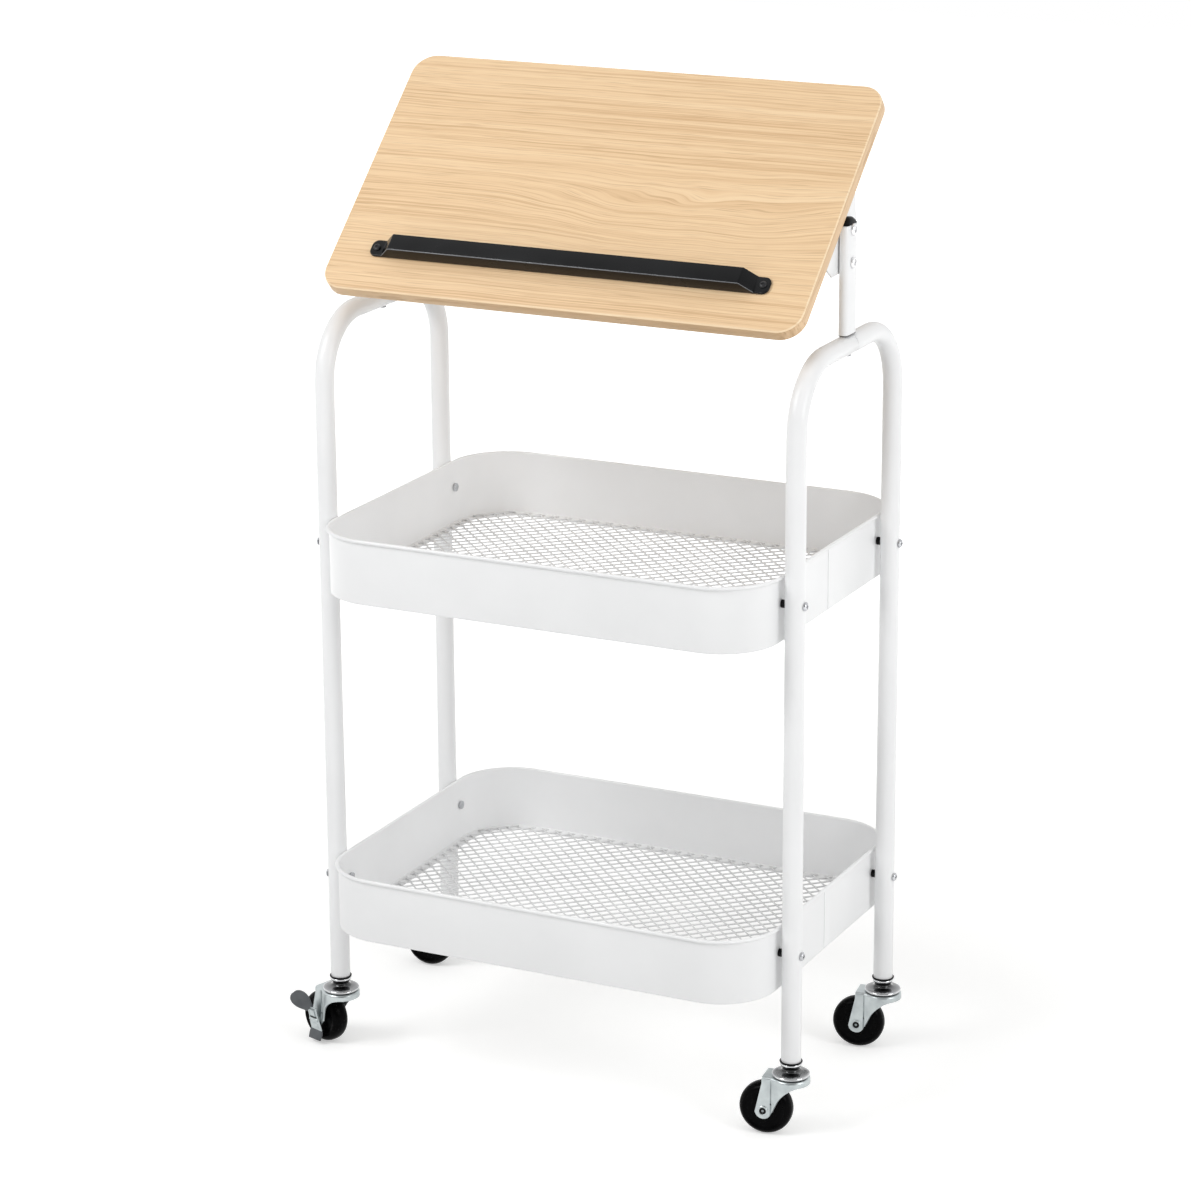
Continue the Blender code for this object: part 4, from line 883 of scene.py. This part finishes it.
# %% The ledge bar
LEDGE_HALF, LEDGE_BODY, LEDGE_RAMP = 0.215, 0.1885, 0.012
LEDGE_DEPTH, LEDGE_HEIGHT, LEDGE_FLANGE = 0.019, 0.0155, 0.0026
LEDGE_INSET, FLANGE_ROUND, FLANGE_SCREW = 0.040, 0.0068, 0.007
LEDGE_Y = TOP_FORWARD - TOP_DEPTH / 2 + LEDGE_INSET + LEDGE_DEPTH / 2
FACE = TOP_UNDERSIDE + TOP_THICKNESS
ledge = cube_piece("ledge_pattern", 2 * LEDGE_BODY, LEDGE_DEPTH, LEDGE_HEIGHT,
                   (0, 0, LEDGE_HEIGHT / 2))
for sign in (-1, 1):
    pick(ledge, "FACE", lambda p, n: n.x * sign > 0.9)
    pull(x=sign * LEDGE_RAMP)
    pick(ledge, "VERT", lambda p, n: p.x * sign > LEDGE_BODY + 0.001 and p.z > LEDGE_HEIGHT / 2)
    shift(z=LEDGE_FLANGE - LEDGE_HEIGHT)
    pick(ledge, "FACE", lambda p, n: n.x * sign > 0.9)
    pull(x=sign * (LEDGE_HALF - LEDGE_BODY - LEDGE_RAMP))
pick(ledge, "EDGE", lambda p, d: abs(d.z) > 0.9 and abs(p.x) > LEDGE_HALF - 0.001)
bpy.ops.mesh.bevel(offset=FLANGE_ROUND, segments=8, affect="EDGES")
put_down()
soften(ledge, 0.0011, segments=4, degrees=28)
smooth(ledge, 40)
ledge.data.materials.append(ledge_black)
# The front top round gets the lighter grey, a painted highlight.
ledge.data.materials.append(ledge_highlight)
print("arris faces:", paint(ledge, 1, lambda p, n: n.y < -0.25 and n.z > 0.25
                            and p.z > LEDGE_FLANGE + 0.001))
place_piece(ledge, "stop_ledge", hinge @ Matrix.Translation((0, LEDGE_Y, FACE + GAP)), None,
            "ledge_plastic", "ledge")
discard(ledge)

# %% [markdown]
# ## Screws
# Pan heads carry a cross recess. The head is turned, and the recess is two crossed bars pushed into
# its top with a Boolean, which is how a punch forms it. The tilt screws have a flat head with a
# round socket instead, which shows in the photograph as a ring.

# %% Pan-head screws and socket screws
def cut_with(piece, cutter):
    modify(piece, "BOOLEAN", operation="DIFFERENCE", object=cutter, solver="EXACT")
    discard(cutter)


def pan_screw(name, head_radius, head_height, shank_radius, shank_length, nut=None):
    """Along +Z, with the seat of the head at the origin. A nut is (radius, top, bottom)."""
    profile = [(shank_radius * 0.7, -shank_length), (shank_radius, -shank_length + 0.0004),
               (shank_radius, 0), (head_radius, 0), (head_radius, head_height * 0.30),
               (head_radius * 0.95, head_height * 0.55), (head_radius * 0.82, head_height * 0.80),
               (head_radius * 0.60, head_height * 0.95), (head_radius * 0.30, head_height)]
    if nut:
        nut_radius, nut_top, nut_bottom = nut
        profile = [(shank_radius * 0.7, nut_bottom - 0.0004), (nut_radius * 0.9, nut_bottom),
                   (nut_radius, nut_bottom + 0.0003), (nut_radius, nut_top - 0.0003),
                   (nut_radius * 0.9, nut_top), (shank_radius, nut_top)] + profile[2:]
    screw = turn_profile(name, profile, 32)
    bar = cube_piece("recess", head_radius * 1.05, head_radius * 0.26, head_height,
                     (0, 0, head_height * 1.02))
    put_down()
    cross = cube_piece("recess_cross", head_radius * 0.26, head_radius * 1.05, head_height,
                       (0, 0, head_height * 1.02))
    put_down()
    cut_with(screw, bar)
    cut_with(screw, cross)
    smooth(screw, 30)
    return screw


SCREW_RISE = 0.0388
BASKET_GAP = 0.004
BASKET_SHEET = 0.001
seat = TUBE_RADIUS + GAP
far = TUBE_RADIUS + BASKET_GAP + BASKET_SHEET + GAP
basket_screw = pan_screw("basket_screw_pattern", 0.0044, 0.0024, 0.002, 0.02,
                         nut=(0.0044, -seat - far, -seat - far - 0.0026))
lay_along(basket_screw, "X")
sleeve = turn_profile("sleeve_pattern", mm(((2.3, 0), (4, 0), (4, 3.4), (2.3, 3.4))), 32,
                      bored=True)
lay_along(sleeve, "X")
for level, height in BASKETS.items():
    for side, sign in SIDES.items():
        turn = 0 if sign > 0 else pi
        for end, end_sign in ENDS.items():
            name = f"{level}_{end}_{side}"
            place = at(sign * LEG_X, end_sign * LEG_Y, height + SCREW_RISE, turn)
            place_piece(basket_screw, "pan_screw_" + name, place @ Matrix.Translation((seat, 0, 0)),
                        screw_steel, "bright_steel", "basket_screw_" + name)
            place_piece(sleeve, "sleeve_" + name, place @ Matrix.Translation(
                (-(TUBE_RADIUS + BASKET_GAP - GAP), 0, 0)), moulded_black, "black_plastic",
                "spacer_" + name)
discard(basket_screw, sleeve)

# %% Ledge screws and tilt screws
ledge_screw = pan_screw("ledge_screw_pattern", 0.0038, 0.0020, 0.0018, 0.0116)
for side, sign in SIDES.items():
    place = hinge @ Matrix.Translation((sign * (LEDGE_HALF - FLANGE_SCREW), LEDGE_Y,
                                        FACE + 2 * GAP + LEDGE_FLANGE))
    place_piece(ledge_screw, "flange_screw_" + side, place, dark_screw, "bright_steel",
                "ledge_screw_" + side)
LOCK_DROP = 0.032
nut_face = -(POST_THICKNESS / 2 + 2 * GAP + 0.002)
head_face = POST_THICKNESS / 2 + GAP
tilt_screw = turn_profile(
    "tilt_screw_pattern",
    mm(((3, -4), (4.5, -4), (5, -3.6), (5, -0.3), (4.7, 0), (3, 0)), nut_face)
    + mm(((3, 0), (5.7, 0), (5.7, 1), (5.2, 1.9), (4.4, 2.5), (3.4, 2.6), (3.1, 2.4), (2.9, 1),
          (1.6, 0.8)), head_face), 40, degrees=30)
lay_along(tilt_screw, "X")
for side, sign in SIDES.items():
    for use, height in (("pivot", PIVOT_HEIGHT), ("lock", PIVOT_HEIGHT - LOCK_DROP)):
        place_piece(tilt_screw, f"socket_screw_{use}_{side}",
                    at(sign * LEG_X, 0, height, 0 if sign > 0 else pi), bright_screw,
                    "bright_steel", f"tilt_{use}_screw_{side}")
discard(ledge_screw, tilt_screw)

# %% [markdown]
# ## Basket walls
# A basket is a band of sheet metal with a flange folded in at its foot and its top edge rolled into
# a bead. A plane with four rounded corners is inset by the flange's width and its middle removed.
# The outer edge is then drawn up for the wall, the fold is bevelled and Solidify gives the sheet.
# The bead is the top edge turned into a curve with a round section.

# %% The basket wall pattern
HALF_X = LEG_X - TUBE_RADIUS - BASKET_GAP
HALF_Y = LEG_Y + 0.0665
CORNER, WALL_HEIGHT, BEAD, FLANGE = 0.060, 0.0675, 0.002, 0.014
LAP_HALF, LAP_RISE = 0.007, 0.0006


def rounded_sheet(name, half_x, half_y, corner, height, segments=16):
    piece = plane_piece(name)
    select_all()
    grow(half_x, half_y, 1, (0, 0, 0))
    shift(z=height)
    bpy.ops.mesh.bevel(offset=corner, segments=segments, affect="VERTICES")
    return piece


def on_outline(x, y, half_x, half_y, corner, slack=0.0003):
    """True where a point is on a rounded rectangle's outline."""
    along_x = max(abs(x) - (half_x - corner), 0)
    along_y = max(abs(y) - (half_y - corner), 0)
    if along_x and along_y:
        return abs(hypot(along_x, along_y) - corner) < slack
    return abs(abs(x) - half_x) < slack or abs(abs(y) - half_y) < slack


wall = rounded_sheet("wall_pattern", HALF_X, HALF_Y, CORNER, 0)
bpy.ops.mesh.select_mode(type="FACE")
select_all()
bpy.ops.mesh.inset(thickness=FLANGE)
bpy.ops.mesh.delete(type="FACE")
bpy.ops.mesh.select_mode(type="EDGE")
print("rim edges:", pick(wall, "EDGE", lambda p, d: on_outline(p.x, p.y, HALF_X, HALF_Y, CORNER)))
pull(z=WALL_HEIGHT - BEAD)
close_up()
soften(wall, 0.0015, segments=3, degrees=60)
modify(wall, "SOLIDIFY", thickness=BASKET_SHEET, offset=-1)
print("wall spans", [round(c, 4) for c in wall.dimensions])


# %% [markdown]
# The band's two ends lap over each other in the middle of the right side, which shows as a strip a
# little proud of the wall. Two bisects mark its edges and the faces between them are pulled out.

# %% The lap, the bead and both walls
take_up(wall)
for edge in (-LAP_HALF, LAP_HALF):
    select_all()
    bpy.ops.mesh.bisect(plane_co=(0, edge, 0), plane_no=(0, 1, 0))
print("lap faces:", pick(wall, "FACE", lambda p, n: n.x > 0.99 and p.x > HALF_X - 0.0002
                         and abs(p.y) < LAP_HALF - 0.0001 and 0.003 < p.z < WALL_HEIGHT - 0.003))
bpy.ops.mesh.inset(thickness=0.0002)
pull(x=LAP_RISE)
put_down()
bead = rounded_sheet("bead_line", HALF_X + BEAD / 2, HALF_Y + BEAD / 2 - 0.0002, CORNER + BEAD / 2,
                     WALL_HEIGHT - BEAD, 20)
bpy.ops.mesh.select_mode(type="FACE")
select_all()
bpy.ops.mesh.delete(type="ONLY_FACE")
put_down()
bpy.ops.object.convert(target="CURVE")
bead = bpy.context.object
bead.data.dimensions = "3D"
bead.data.fill_mode = "FULL"
bead.data.bevel_depth = BEAD
bead.data.bevel_resolution = 4
bpy.ops.object.convert(target="MESH")
bead = bpy.context.object
choose(wall)
bead.select_set(True)
bpy.ops.object.join()
smooth(wall, 35)
place_in_baskets(wall, "basket_band_", white_coat, "white_paint", "basket_wall_")

# %% [markdown]
# ## Basket floors
# The floors are expanded metal: a sheet is slit and stretched until the slits open into diamonds,
# and its strands come out narrow, a little twisted and joined at thick knuckles. Measured on the
# floor, the diamonds are square on edge, 16 mm from tip to tip. Four strands make one cell, and two
# Array modifiers repeat it. The sheet is then cut to the basket's outline with bisects.

# %% One cell of strands
DIAMOND = 0.016
STRAND, SHEET = 0.0018, 0.0012
MESH_BASE = BASKET_SHEET + GAP
HALF_PITCH, QUARTER = DIAMOND / 2, DIAMOND / 4
cell = None
for turn, places in ((pi / 4, ((1, 1), (3, 3))), (-pi / 4, ((1, -1), (3, 1)))):
    for across, along in places:
        strand = cube_piece("strand", DIAMOND / sqrt(2) * 1.06, STRAND, SHEET)
        pick(strand, "EDGE", lambda p, d: abs(d.x) > 0.9)
        bpy.ops.mesh.subdivide(number_cuts=1)
        pick(strand, "VERT", lambda p, n: abs(p.x) < 0.0001)
        grow(1, 0.82, 1, (0, 0, 0))
        put_down()
        strand.rotation_euler = (radians(14), 0, turn)
        strand.location = (across * QUARTER, along * QUARTER, MESH_BASE + SHEET / 2 + 0.0001)
        bpy.ops.object.transform_apply(location=True, rotation=True, scale=True)
        if cell is not None:
            cell.select_set(True)
            bpy.context.view_layer.objects.active = cell
            bpy.ops.object.join()
        cell = bpy.context.object
print("one cell:", len(cell.data.polygons), "faces")

# %% The expanded sheet, cut to the basket's outline
MESH_INSET = 0.0065
MESH_HALF_X, MESH_HALF_Y, MESH_CORNER = (size - MESH_INSET for size in (HALF_X, HALF_Y, CORNER))
columns = int(2 * MESH_HALF_X / DIAMOND) + 2
rows = int(2 * MESH_HALF_Y / DIAMOND) + 2
for count, step in ((columns, (DIAMOND, 0, 0)), (rows, (0, DIAMOND, 0))):
    modify(cell, "ARRAY", count=count, use_relative_offset=False, use_constant_offset=True,
           constant_offset_displace=step)
sheet = cell
sheet.location = (-columns * HALF_PITCH, -rows * HALF_PITCH, 0)
bpy.ops.object.transform_apply(location=True, rotation=False, scale=False)


def outside_corner(p):
    along_x = abs(p.x) - (MESH_HALF_X - MESH_CORNER)
    along_y = abs(p.y) - (MESH_HALF_Y - MESH_CORNER)
    return along_x > 0 and along_y > 0 and hypot(along_x, along_y) > MESH_CORNER


take_up(sheet)
for way, reach in (((1, 0, 0), MESH_HALF_X), ((-1, 0, 0), MESH_HALF_X), ((0, 1, 0), MESH_HALF_Y),
                   ((0, -1, 0), MESH_HALF_Y)):
    select_all()
    bpy.ops.mesh.bisect(plane_co=Vector(way) * reach, plane_no=way, clear_outer=True, use_fill=True)
pick(sheet, "VERT", lambda p, n: outside_corner(p))
bpy.ops.mesh.delete(type="VERT")
bpy.ops.mesh.select_non_manifold(extend=False)
bpy.ops.mesh.fill_holes(sides=0)
put_down()
smooth(sheet, 30)
place_in_baskets(sheet, "expanded_floor_", shaded_mesh_coat, "mesh_paint", "basket_floor_")

# %% [markdown]
# ## Caster sockets and swivels
# The tube ends in a black socket with a thin lip. Under it the chromed part flares to a ring,
# narrows to a neck and spreads again into the dished upper race. All of it is turned on the leg's
# own axis.

# %% Sockets, cups and races
LIP_FOOT = LEG_FOOT - 0.0006
collar = turn_profile(
    "socket_pattern",
    mm(((4.6, 0), (10.6, 0), (11.2, 0.3), (11.5, 0.9), (11.3, 1.5), (10.8, 1.7), (10.2, 1.5)),
       LIP_FOOT)
    + mm(((10.2, 0), (8.5, 0)), LEG_FOOT - GAP) + mm(((8.5, 17.8), (4.6, 17.8)), LEG_FOOT),
    48, bored=True)
CROWN_TOP = 0.0634
RACE = CROWN_TOP + GAP
cup_top = LIP_FOOT - 0.0002
cup = turn_profile(
    "cup_pattern",
    mm(((15, 0), (16.8, 0), (17.5, 0.7), (18.4, 1.1), (18.8, 1.8), (18.8, 2.5), (18.4, 3.2),
        (17.5, 3.7), (16.2, 4.1), (14.6, 4.4), (13, 4.7), (11.6, 5.1), (10.4, 5.6), (9.5, 6.2),
        (8.8, 7), (8.5, 7.9), (8.5, 8.8), (9.1, 10.2), (10, 11.4)), RACE)
    + mm(((10.8, -2.4), (11.1, -1.3), (11, -0.5), (10.5, 0), (4.2, 0), (4.2, 24), (3.8, 24.4)),
         cup_top),
    64, degrees=50)
SWIVELS = {"front_left": -18.5, "front_right": 7.0, "back_left": 0.0, "back_right": 9.0}
CORNERS = {f"{end}_{side}": (sign * LEG_X, end_sign * LEG_Y)
           for end, end_sign in ENDS.items() for side, sign in SIDES.items()}
for corner, (x, y) in CORNERS.items():
    place_piece(collar, "tube_socket_" + corner, at(x, y, 0), moulded_black, "black_plastic",
                "caster_collar_" + corner)
    place_piece(cup, "swivel_cup_" + corner, at(x, y, 0), chrome, "chrome", "caster_stem_" + corner)
discard(collar, cup)

# %% [markdown]
# ## Caster forks
# A fork is stamped from one sheet: a round crown that runs back into two legs, with a soft crease
# where each leg turns parallel to the wheel. The crown starts as a circle whose back is opened and
# drawn out into two straight sides. The outline is pulled down for the rim and the legs, each lower
# point is dropped to the swept front edge or the round end, and Solidify gives the sheet.

# %% The fork pattern, with the swivel axis at the origin and the wheel towards +X
TRAIL, AXLE_HEIGHT = 0.0250, 0.0272
CROWN, FORK_SHEET, LEG_HALF = 0.0194, 0.0019, 0.0130
RIM_FOOT = CROWN_TOP - 0.0066
FOLD_DEPTH, FOLD_TOP = 0.0006, CROWN_TOP - 0.004
CREASE_X, TAIL_X, LEG_END = 0.0170, 0.0265, 0.0086
SWEEP = ((-0.0108, RIM_FOOT), (-0.0050, 0.0546), (0.0010, 0.0502), (0.0060, 0.0450),
         (0.0100, 0.0392), (0.0135, 0.0328), (0.0157, 0.0280), (0.0168, 0.0246))


def leg_foot(x):
    """Height of the leg's lower edge at a place along the fork, and how far back it leans."""
    if x <= SWEEP[0][0]:
        return x, RIM_FOOT
    for (near, high), (far_x, low) in zip(SWEEP, SWEEP[1:]):
        if x <= far_x:
            return x, high + (low - high) * (x - near) / (far_x - near)
    reach = TRAIL + LEG_END * 0.985 - CREASE_X
    back = CREASE_X + (x - CREASE_X) * reach / (TAIL_X - CREASE_X)
    drop = sqrt(max(LEG_END ** 2 - (back - TRAIL) ** 2, 0))
    return back, AXLE_HEIGHT - drop


fork = circle_piece("fork_pattern", CROWN, 72)
select_all()
shift(z=CROWN_TOP)
opening = CROWN * cos(radians(58)) + 0.0002
pick(fork, "VERT", lambda p, n: p.x > opening)
bpy.ops.mesh.delete(type="VERT")
for sign in (-1, 1):
    tip = max((v.co.copy() for v in bmesh.from_edit_mesh(fork.data).verts
               if v.co.y * sign > 0 and v.co.x < CREASE_X - 0.001), key=lambda c: c.x)
    pick(fork, "VERT", lambda p, n: (p - tip).length < 1e-6)
    place = tip
    for x in (CREASE_X - 0.0006, CREASE_X, CREASE_X + 0.0006, 0.0187, 0.0197, 0.0207, 0.0217,
              0.0227, 0.0237, 0.0247, 0.0257, TAIL_X):
        step = Vector((x, sign * LEG_HALF, tip.z)) - place
        bpy.ops.mesh.extrude_vertices_move(TRANSFORM_OT_translate={"value": step})
        place = place + step
select_all()
bpy.ops.mesh.edge_face_add()
print("crown edges pulled down:", pick(fork, "EDGE", lambda p, d: p.x < TAIL_X - 0.0002))
pull(z=RIM_FOOT - CROWN_TOP)
pick(fork, "EDGE", lambda p, d: p.z < RIM_FOOT + 0.0001 and abs(d.z) < 0.1
     and p.x > SWEEP[0][0] and p.x < TAIL_X - 0.0002)
pull(z=-0.012)
feet = [v.co.copy() for v in bmesh.from_edit_mesh(fork.data).verts if v.co.z < RIM_FOOT - 0.011]
for foot in feet:
    back, height = leg_foot(foot.x)
    pick(fork, "VERT", lambda p, n: (p - foot).length < 1e-6)
    shift(x=back - foot.x, z=min(height, RIM_FOOT - 0.0004) - foot.z)
pick(fork, "EDGE", lambda p, d: abs(p.z - CROWN_TOP) < 1e-5 and p.x < TAIL_X - 0.0002)
bpy.ops.mesh.bevel(offset=0.0026, segments=6, affect="EDGES")
for sign in (-1, 1):
    pick(fork, "VERT", lambda p, n: abs(p.x - CREASE_X) < 0.0002 and p.y * sign > LEG_HALF - 0.0003
         and p.z < FOLD_TOP)
    shift(y=-sign * FOLD_DEPTH)
close_up()
modify(fork, "SOLIDIFY", thickness=FORK_SHEET, offset=-1, use_even_offset=True)
soften(fork, EDGE_ROUND)
dimple = turn_profile("dimple_cutter", [(0.0009, -0.02), (0.0009, 0.02)], 20)
lay_along(dimple, "Y")
dimple.location = (CREASE_X, 0, 0.0352)
cut_with(fork, dimple)
smooth(fork, 32)
fork.data.materials.append(zinc)
fork.data.materials.append(shaded_zinc)
# The crease faces take the darker zinc: painted shade in the fold.
print("fold faces:", paint(fork, 1, lambda p, n: abs(p.x - CREASE_X) < 0.0006
                           and abs(p.y) > LEG_HALF - 0.0008 and abs(n.y) > 0.3
                           and p.z < FOLD_TOP))
print("fork:", len(fork.data.polygons), "faces", [round(c, 4) for c in fork.dimensions])

# %% [markdown]
# Each wheel turns on a hollow rivet through its fork, spun over at both ends. A black core in the
# rivet is painted shade in its bore, and a small darkened zinc boss in the middle is a painted
# highlight of the bore's far side. The wheel is one hard black moulding with a dished face, a proud
# hub and a crowned tread.

# %% Rivets and wheels
rivet_half = mm(((3.5, 0.1), (3.6, 0.7), (4.1, 1), (5, 0.9), (5.5, 0.4), (5.5, 0.1), (4.5, 0.1)),
                LEG_HALF)
rivet = turn_profile("rivet_pattern", [(r, -h) for r, h in rivet_half]
                     + [(r, h) for r, h in reversed(rivet_half)], 40, bored=True)
lay_along(rivet, "Y")
# The black core is painted shade in the rivet's bore, and the small darkened zinc boss is a painted
# highlight of the bore's far side.
bore_shadow = turn_profile("bore_shadow_pattern", [(0.0035, -LEG_HALF - 0.0003), (0.0035, LEG_HALF + 0.0003)], 32)
lay_along(bore_shadow, "Y")
bore = turn_profile("bore_glint_pattern", [(0.0013, -LEG_HALF - 0.0006), (0.0013, LEG_HALF + 0.0006)], 20,
                    bevel=0.0003)
lay_along(bore, "Y")
wheel_half = mm(((4.8, 9.9), (5.2, 10.2), (7.6, 10.2), (8, 9.9), (8.5, 9.2), (9.1, 8.8),
                 (18.2, 8.8), (19.4, 9.1), (21, 10), (21.7, 10.1), (22.3, 9.9), (24.3, 8.4),
                 (25.3, 7.3), (26.1, 6), (26.8, 4.3), (27.1, 2.7), (27.2, 1)))
wheel = turn_profile("wheel_pattern", [(r, h) for r, h in wheel_half]
                     + [(r, -h) for r, h in reversed(wheel_half)], 96, bored=True)
lay_along(wheel, "Y")
for corner, (x, y) in CORNERS.items():
    place = at(x, y, 0, pi + radians(SWIVELS[corner]))
    axle = place @ Matrix.Translation((TRAIL, 0, AXLE_HEIGHT))
    for pattern, name, where, material, slot, node in (
            (fork, "stamped_fork_", place, None, "bright_steel", "caster_fork_"),
            (rivet, "axle_rivet_", axle, zinc, "bright_steel", "caster_fork_"),
            (bore_shadow, "rivet_core_", axle, moulded_black, "bright_steel", "caster_fork_"),
            (bore, "rivet_tip_", axle, shaded_zinc, "bright_steel", "caster_fork_"),
            (wheel, "rolling_wheel_", axle, wheel_black, "wheel_black", "caster_wheel_")):
        place_piece(pattern, name + corner, where, material, slot, node + corner)
discard(fork, rivet, bore_shadow, bore, wheel)

# %% [markdown]
# ## Brake rocker
# The brake hangs beside the front left wheel: a plated strap with a dark paddle above and a dark
# foot below. Each is one sheet drawn upwards section by section, with the width and the lean of
# every section given, and then thickened. The marks pressed into the strap are small plates on it.

# %% The brake's strap, paddle and foot
def strip(name, sections, thickness, bevel):
    """A sheet drawn up through sections, each with its height, lean and half width."""
    piece = plane_piece(name)
    select_all()
    bpy.ops.transform.rotate(value=pi / 2, orient_axis="X", center_override=(0, 0, 0))
    (low, low_lean, low_half), (high, high_lean, high_half) = sections[:2]
    pick(piece, "VERT", lambda p, n: p.z < 0)
    grow(low_half, 1, 1, (0, 0, 0))
    shift(y=low_lean, z=low + 1)
    pick(piece, "VERT", lambda p, n: abs(p.z) > 0.5)
    grow(high_half, 1, 1, (0, 0, 0))
    shift(y=high_lean, z=high - 1)
    before = sections[1]
    for section in sections[2:]:
        pick(piece, "EDGE", lambda p, d: abs(d.x) > 0.9 and abs(p.z - before[0]) < 1e-6)
        pull(y=section[1] - before[1], z=section[0] - before[0])
        grow(section[2] / before[2], 1, 1, (0, 0, 0))
        before = section
    close_up()
    modify(piece, "SOLIDIFY", thickness=thickness, offset=0)
    soften(piece, bevel, segments=3, degrees=55)
    smooth(piece, 35)
    return piece


paddle = strip("paddle_pattern", [(0.0240 * share, 0.0, 0.0092 * width) for share, width in (
    (-0.06, 0.50), (0.05, 0.56), (0.16, 0.70), (0.28, 0.85), (0.42, 0.96), (0.56, 1.0),
    (0.70, 0.97), (0.82, 0.86), (0.90, 0.74), (0.96, 0.56), (0.99, 0.40), (1.0, 0.30))],
    0.0022, 0.0007)
paddle.matrix_world = (Matrix.Translation((0, 0.0034, 0.0166))
                       @ Matrix.Rotation(radians(44), 4, "Z")
                       @ Matrix.Rotation(radians(30), 4, "Y"))
choose(paddle)
bpy.ops.object.transform_apply(location=True, rotation=True, scale=False)
foot = strip("foot_pattern", [(-0.0130 - 0.0090 * share, 0.0060 * share, 0.0095 * width)
                              for share, width in ((1.0, 0.92), (0.4, 1.0), (0.02, 0.93))],
             0.0019, 0.0005)
strap = strip("strap_pattern", [(-0.0136, 0.0004, 0.0080), (-0.0126, 0, 0.0082),
                                (-0.0060, 0, 0.0081), (0.0000, 0, 0.0074), (0.0060, 0, 0.0068),
                                (0.0120, 0, 0.0072), (0.0146, 0.0003, 0.0078),
                                (0.0162, 0.0014, 0.0076), (0.0172, 0.0030, 0.0066)],
              0.0013, 0.0004)
pin = turn_profile("pin_pattern", [(0.0022, -0.0060), (0.0022, 0.0060)], 32, bevel=0.0003)
lay_along(pin, "X")
emboss = cube_piece("emboss_pattern", 0.0064, 0.0016, 0.0072, (0, 0.0007, 0.0085))
soften(emboss, 0.0005)
# The sunk mark is a plate of the darker zinc: painted shade in the pressing.
recess = cube_piece("recess_pattern", 0.0082, 0.0012, 0.0092, (0, 0.0005, 0.0084))
lower_emboss = cube_piece("lower_emboss_pattern", 0.0080, 0.0010, 0.0056, (0, 0.0006, -0.0076))
soften(lower_emboss, 0.0004)
bar = cube_piece("bar_pattern", 0.0092, 0.0010, 0.0015, (0, 0.0008, 0.0030))
swivel = at(*CORNERS["front_left"], 0, pi + radians(SWIVELS["front_left"]))
brake_place = swivel @ Matrix.Translation(
    (TRAIL, LEG_HALF + 0.0010 + GAP + 0.0022, AXLE_HEIGHT)) @ Matrix.Rotation(-radians(14), 4, "X")
for pattern, name, material in (
        (paddle, "brake_paddle", brake_grey), (foot, "brake_foot", brake_grey),
        (strap, "brake_strap", zinc), (pin, "brake_pin", zinc), (emboss, "strap_emboss", zinc),
        (recess, "strap_recess", shaded_zinc), (lower_emboss, "strap_lower_emboss", zinc),
        (bar, "strap_slot", moulded_black)):
    place_piece(pattern, name, brake_place, material, "bright_steel", "brake_rocker")
    discard(pattern)
print("brake pieces ride on", BODY_OF["brake_rocker"])

# %% [markdown]
# ## Brackets and bolts
# The two brackets under the wood keep the CAD's outline, because their curved slot fixes the range
# of the tilt. A copy of each one's mesh is merged, its flat faces are joined up and every edge gets
# the small round of a pressed and coated sheet. The bolts that hold the posts are hidden in the
# tubes but for their heads, which are low and lie close under the top bars.

# %% Brackets with soft edges, and the post bolts
for side in SIDES:
    node = "tilt_bracket_" + side
    source = frame["nodes"][node]
    deselect_everything()
    piece = source.copy()
    piece.data = source.data.copy()
    piece.name = "tilt_plate_" + side
    piece.parent = None
    bpy.context.scene.collection.objects.link(piece)
    for key in list(piece.keys()):
        del piece[key]
    take_up(piece)
    select_all()
    bpy.ops.mesh.remove_doubles(threshold=0.00001)
    bpy.ops.mesh.dissolve_limited(angle_limit=radians(1))
    close_up()
    soften(piece, 0.0004)
    smooth(piece, 35)
    finish_piece(piece, white_coat, "white_paint", node)
    print(piece.name, len(piece.data.polygons), "faces")
bolt_head = TOP_BAR - TUBE_RADIUS - GAP
bolt_nut = TOP_BAR + TUBE_RADIUS + GAP + 0.001
bolt = turn_profile(
    "bolt_pattern", mm(((2, -1), (3.6, -0.8), (4.4, -0.4), (4.6, 0), (3, 0)), bolt_head)
    + mm(((3, 0), (3.4, 0), (3.4, 13.8), (3, 14)), bolt_nut), 32)
place_at_sides(bolt, "low_head_bolt_", 0, 0, screw_steel, "bright_steel", "post_bolt_")
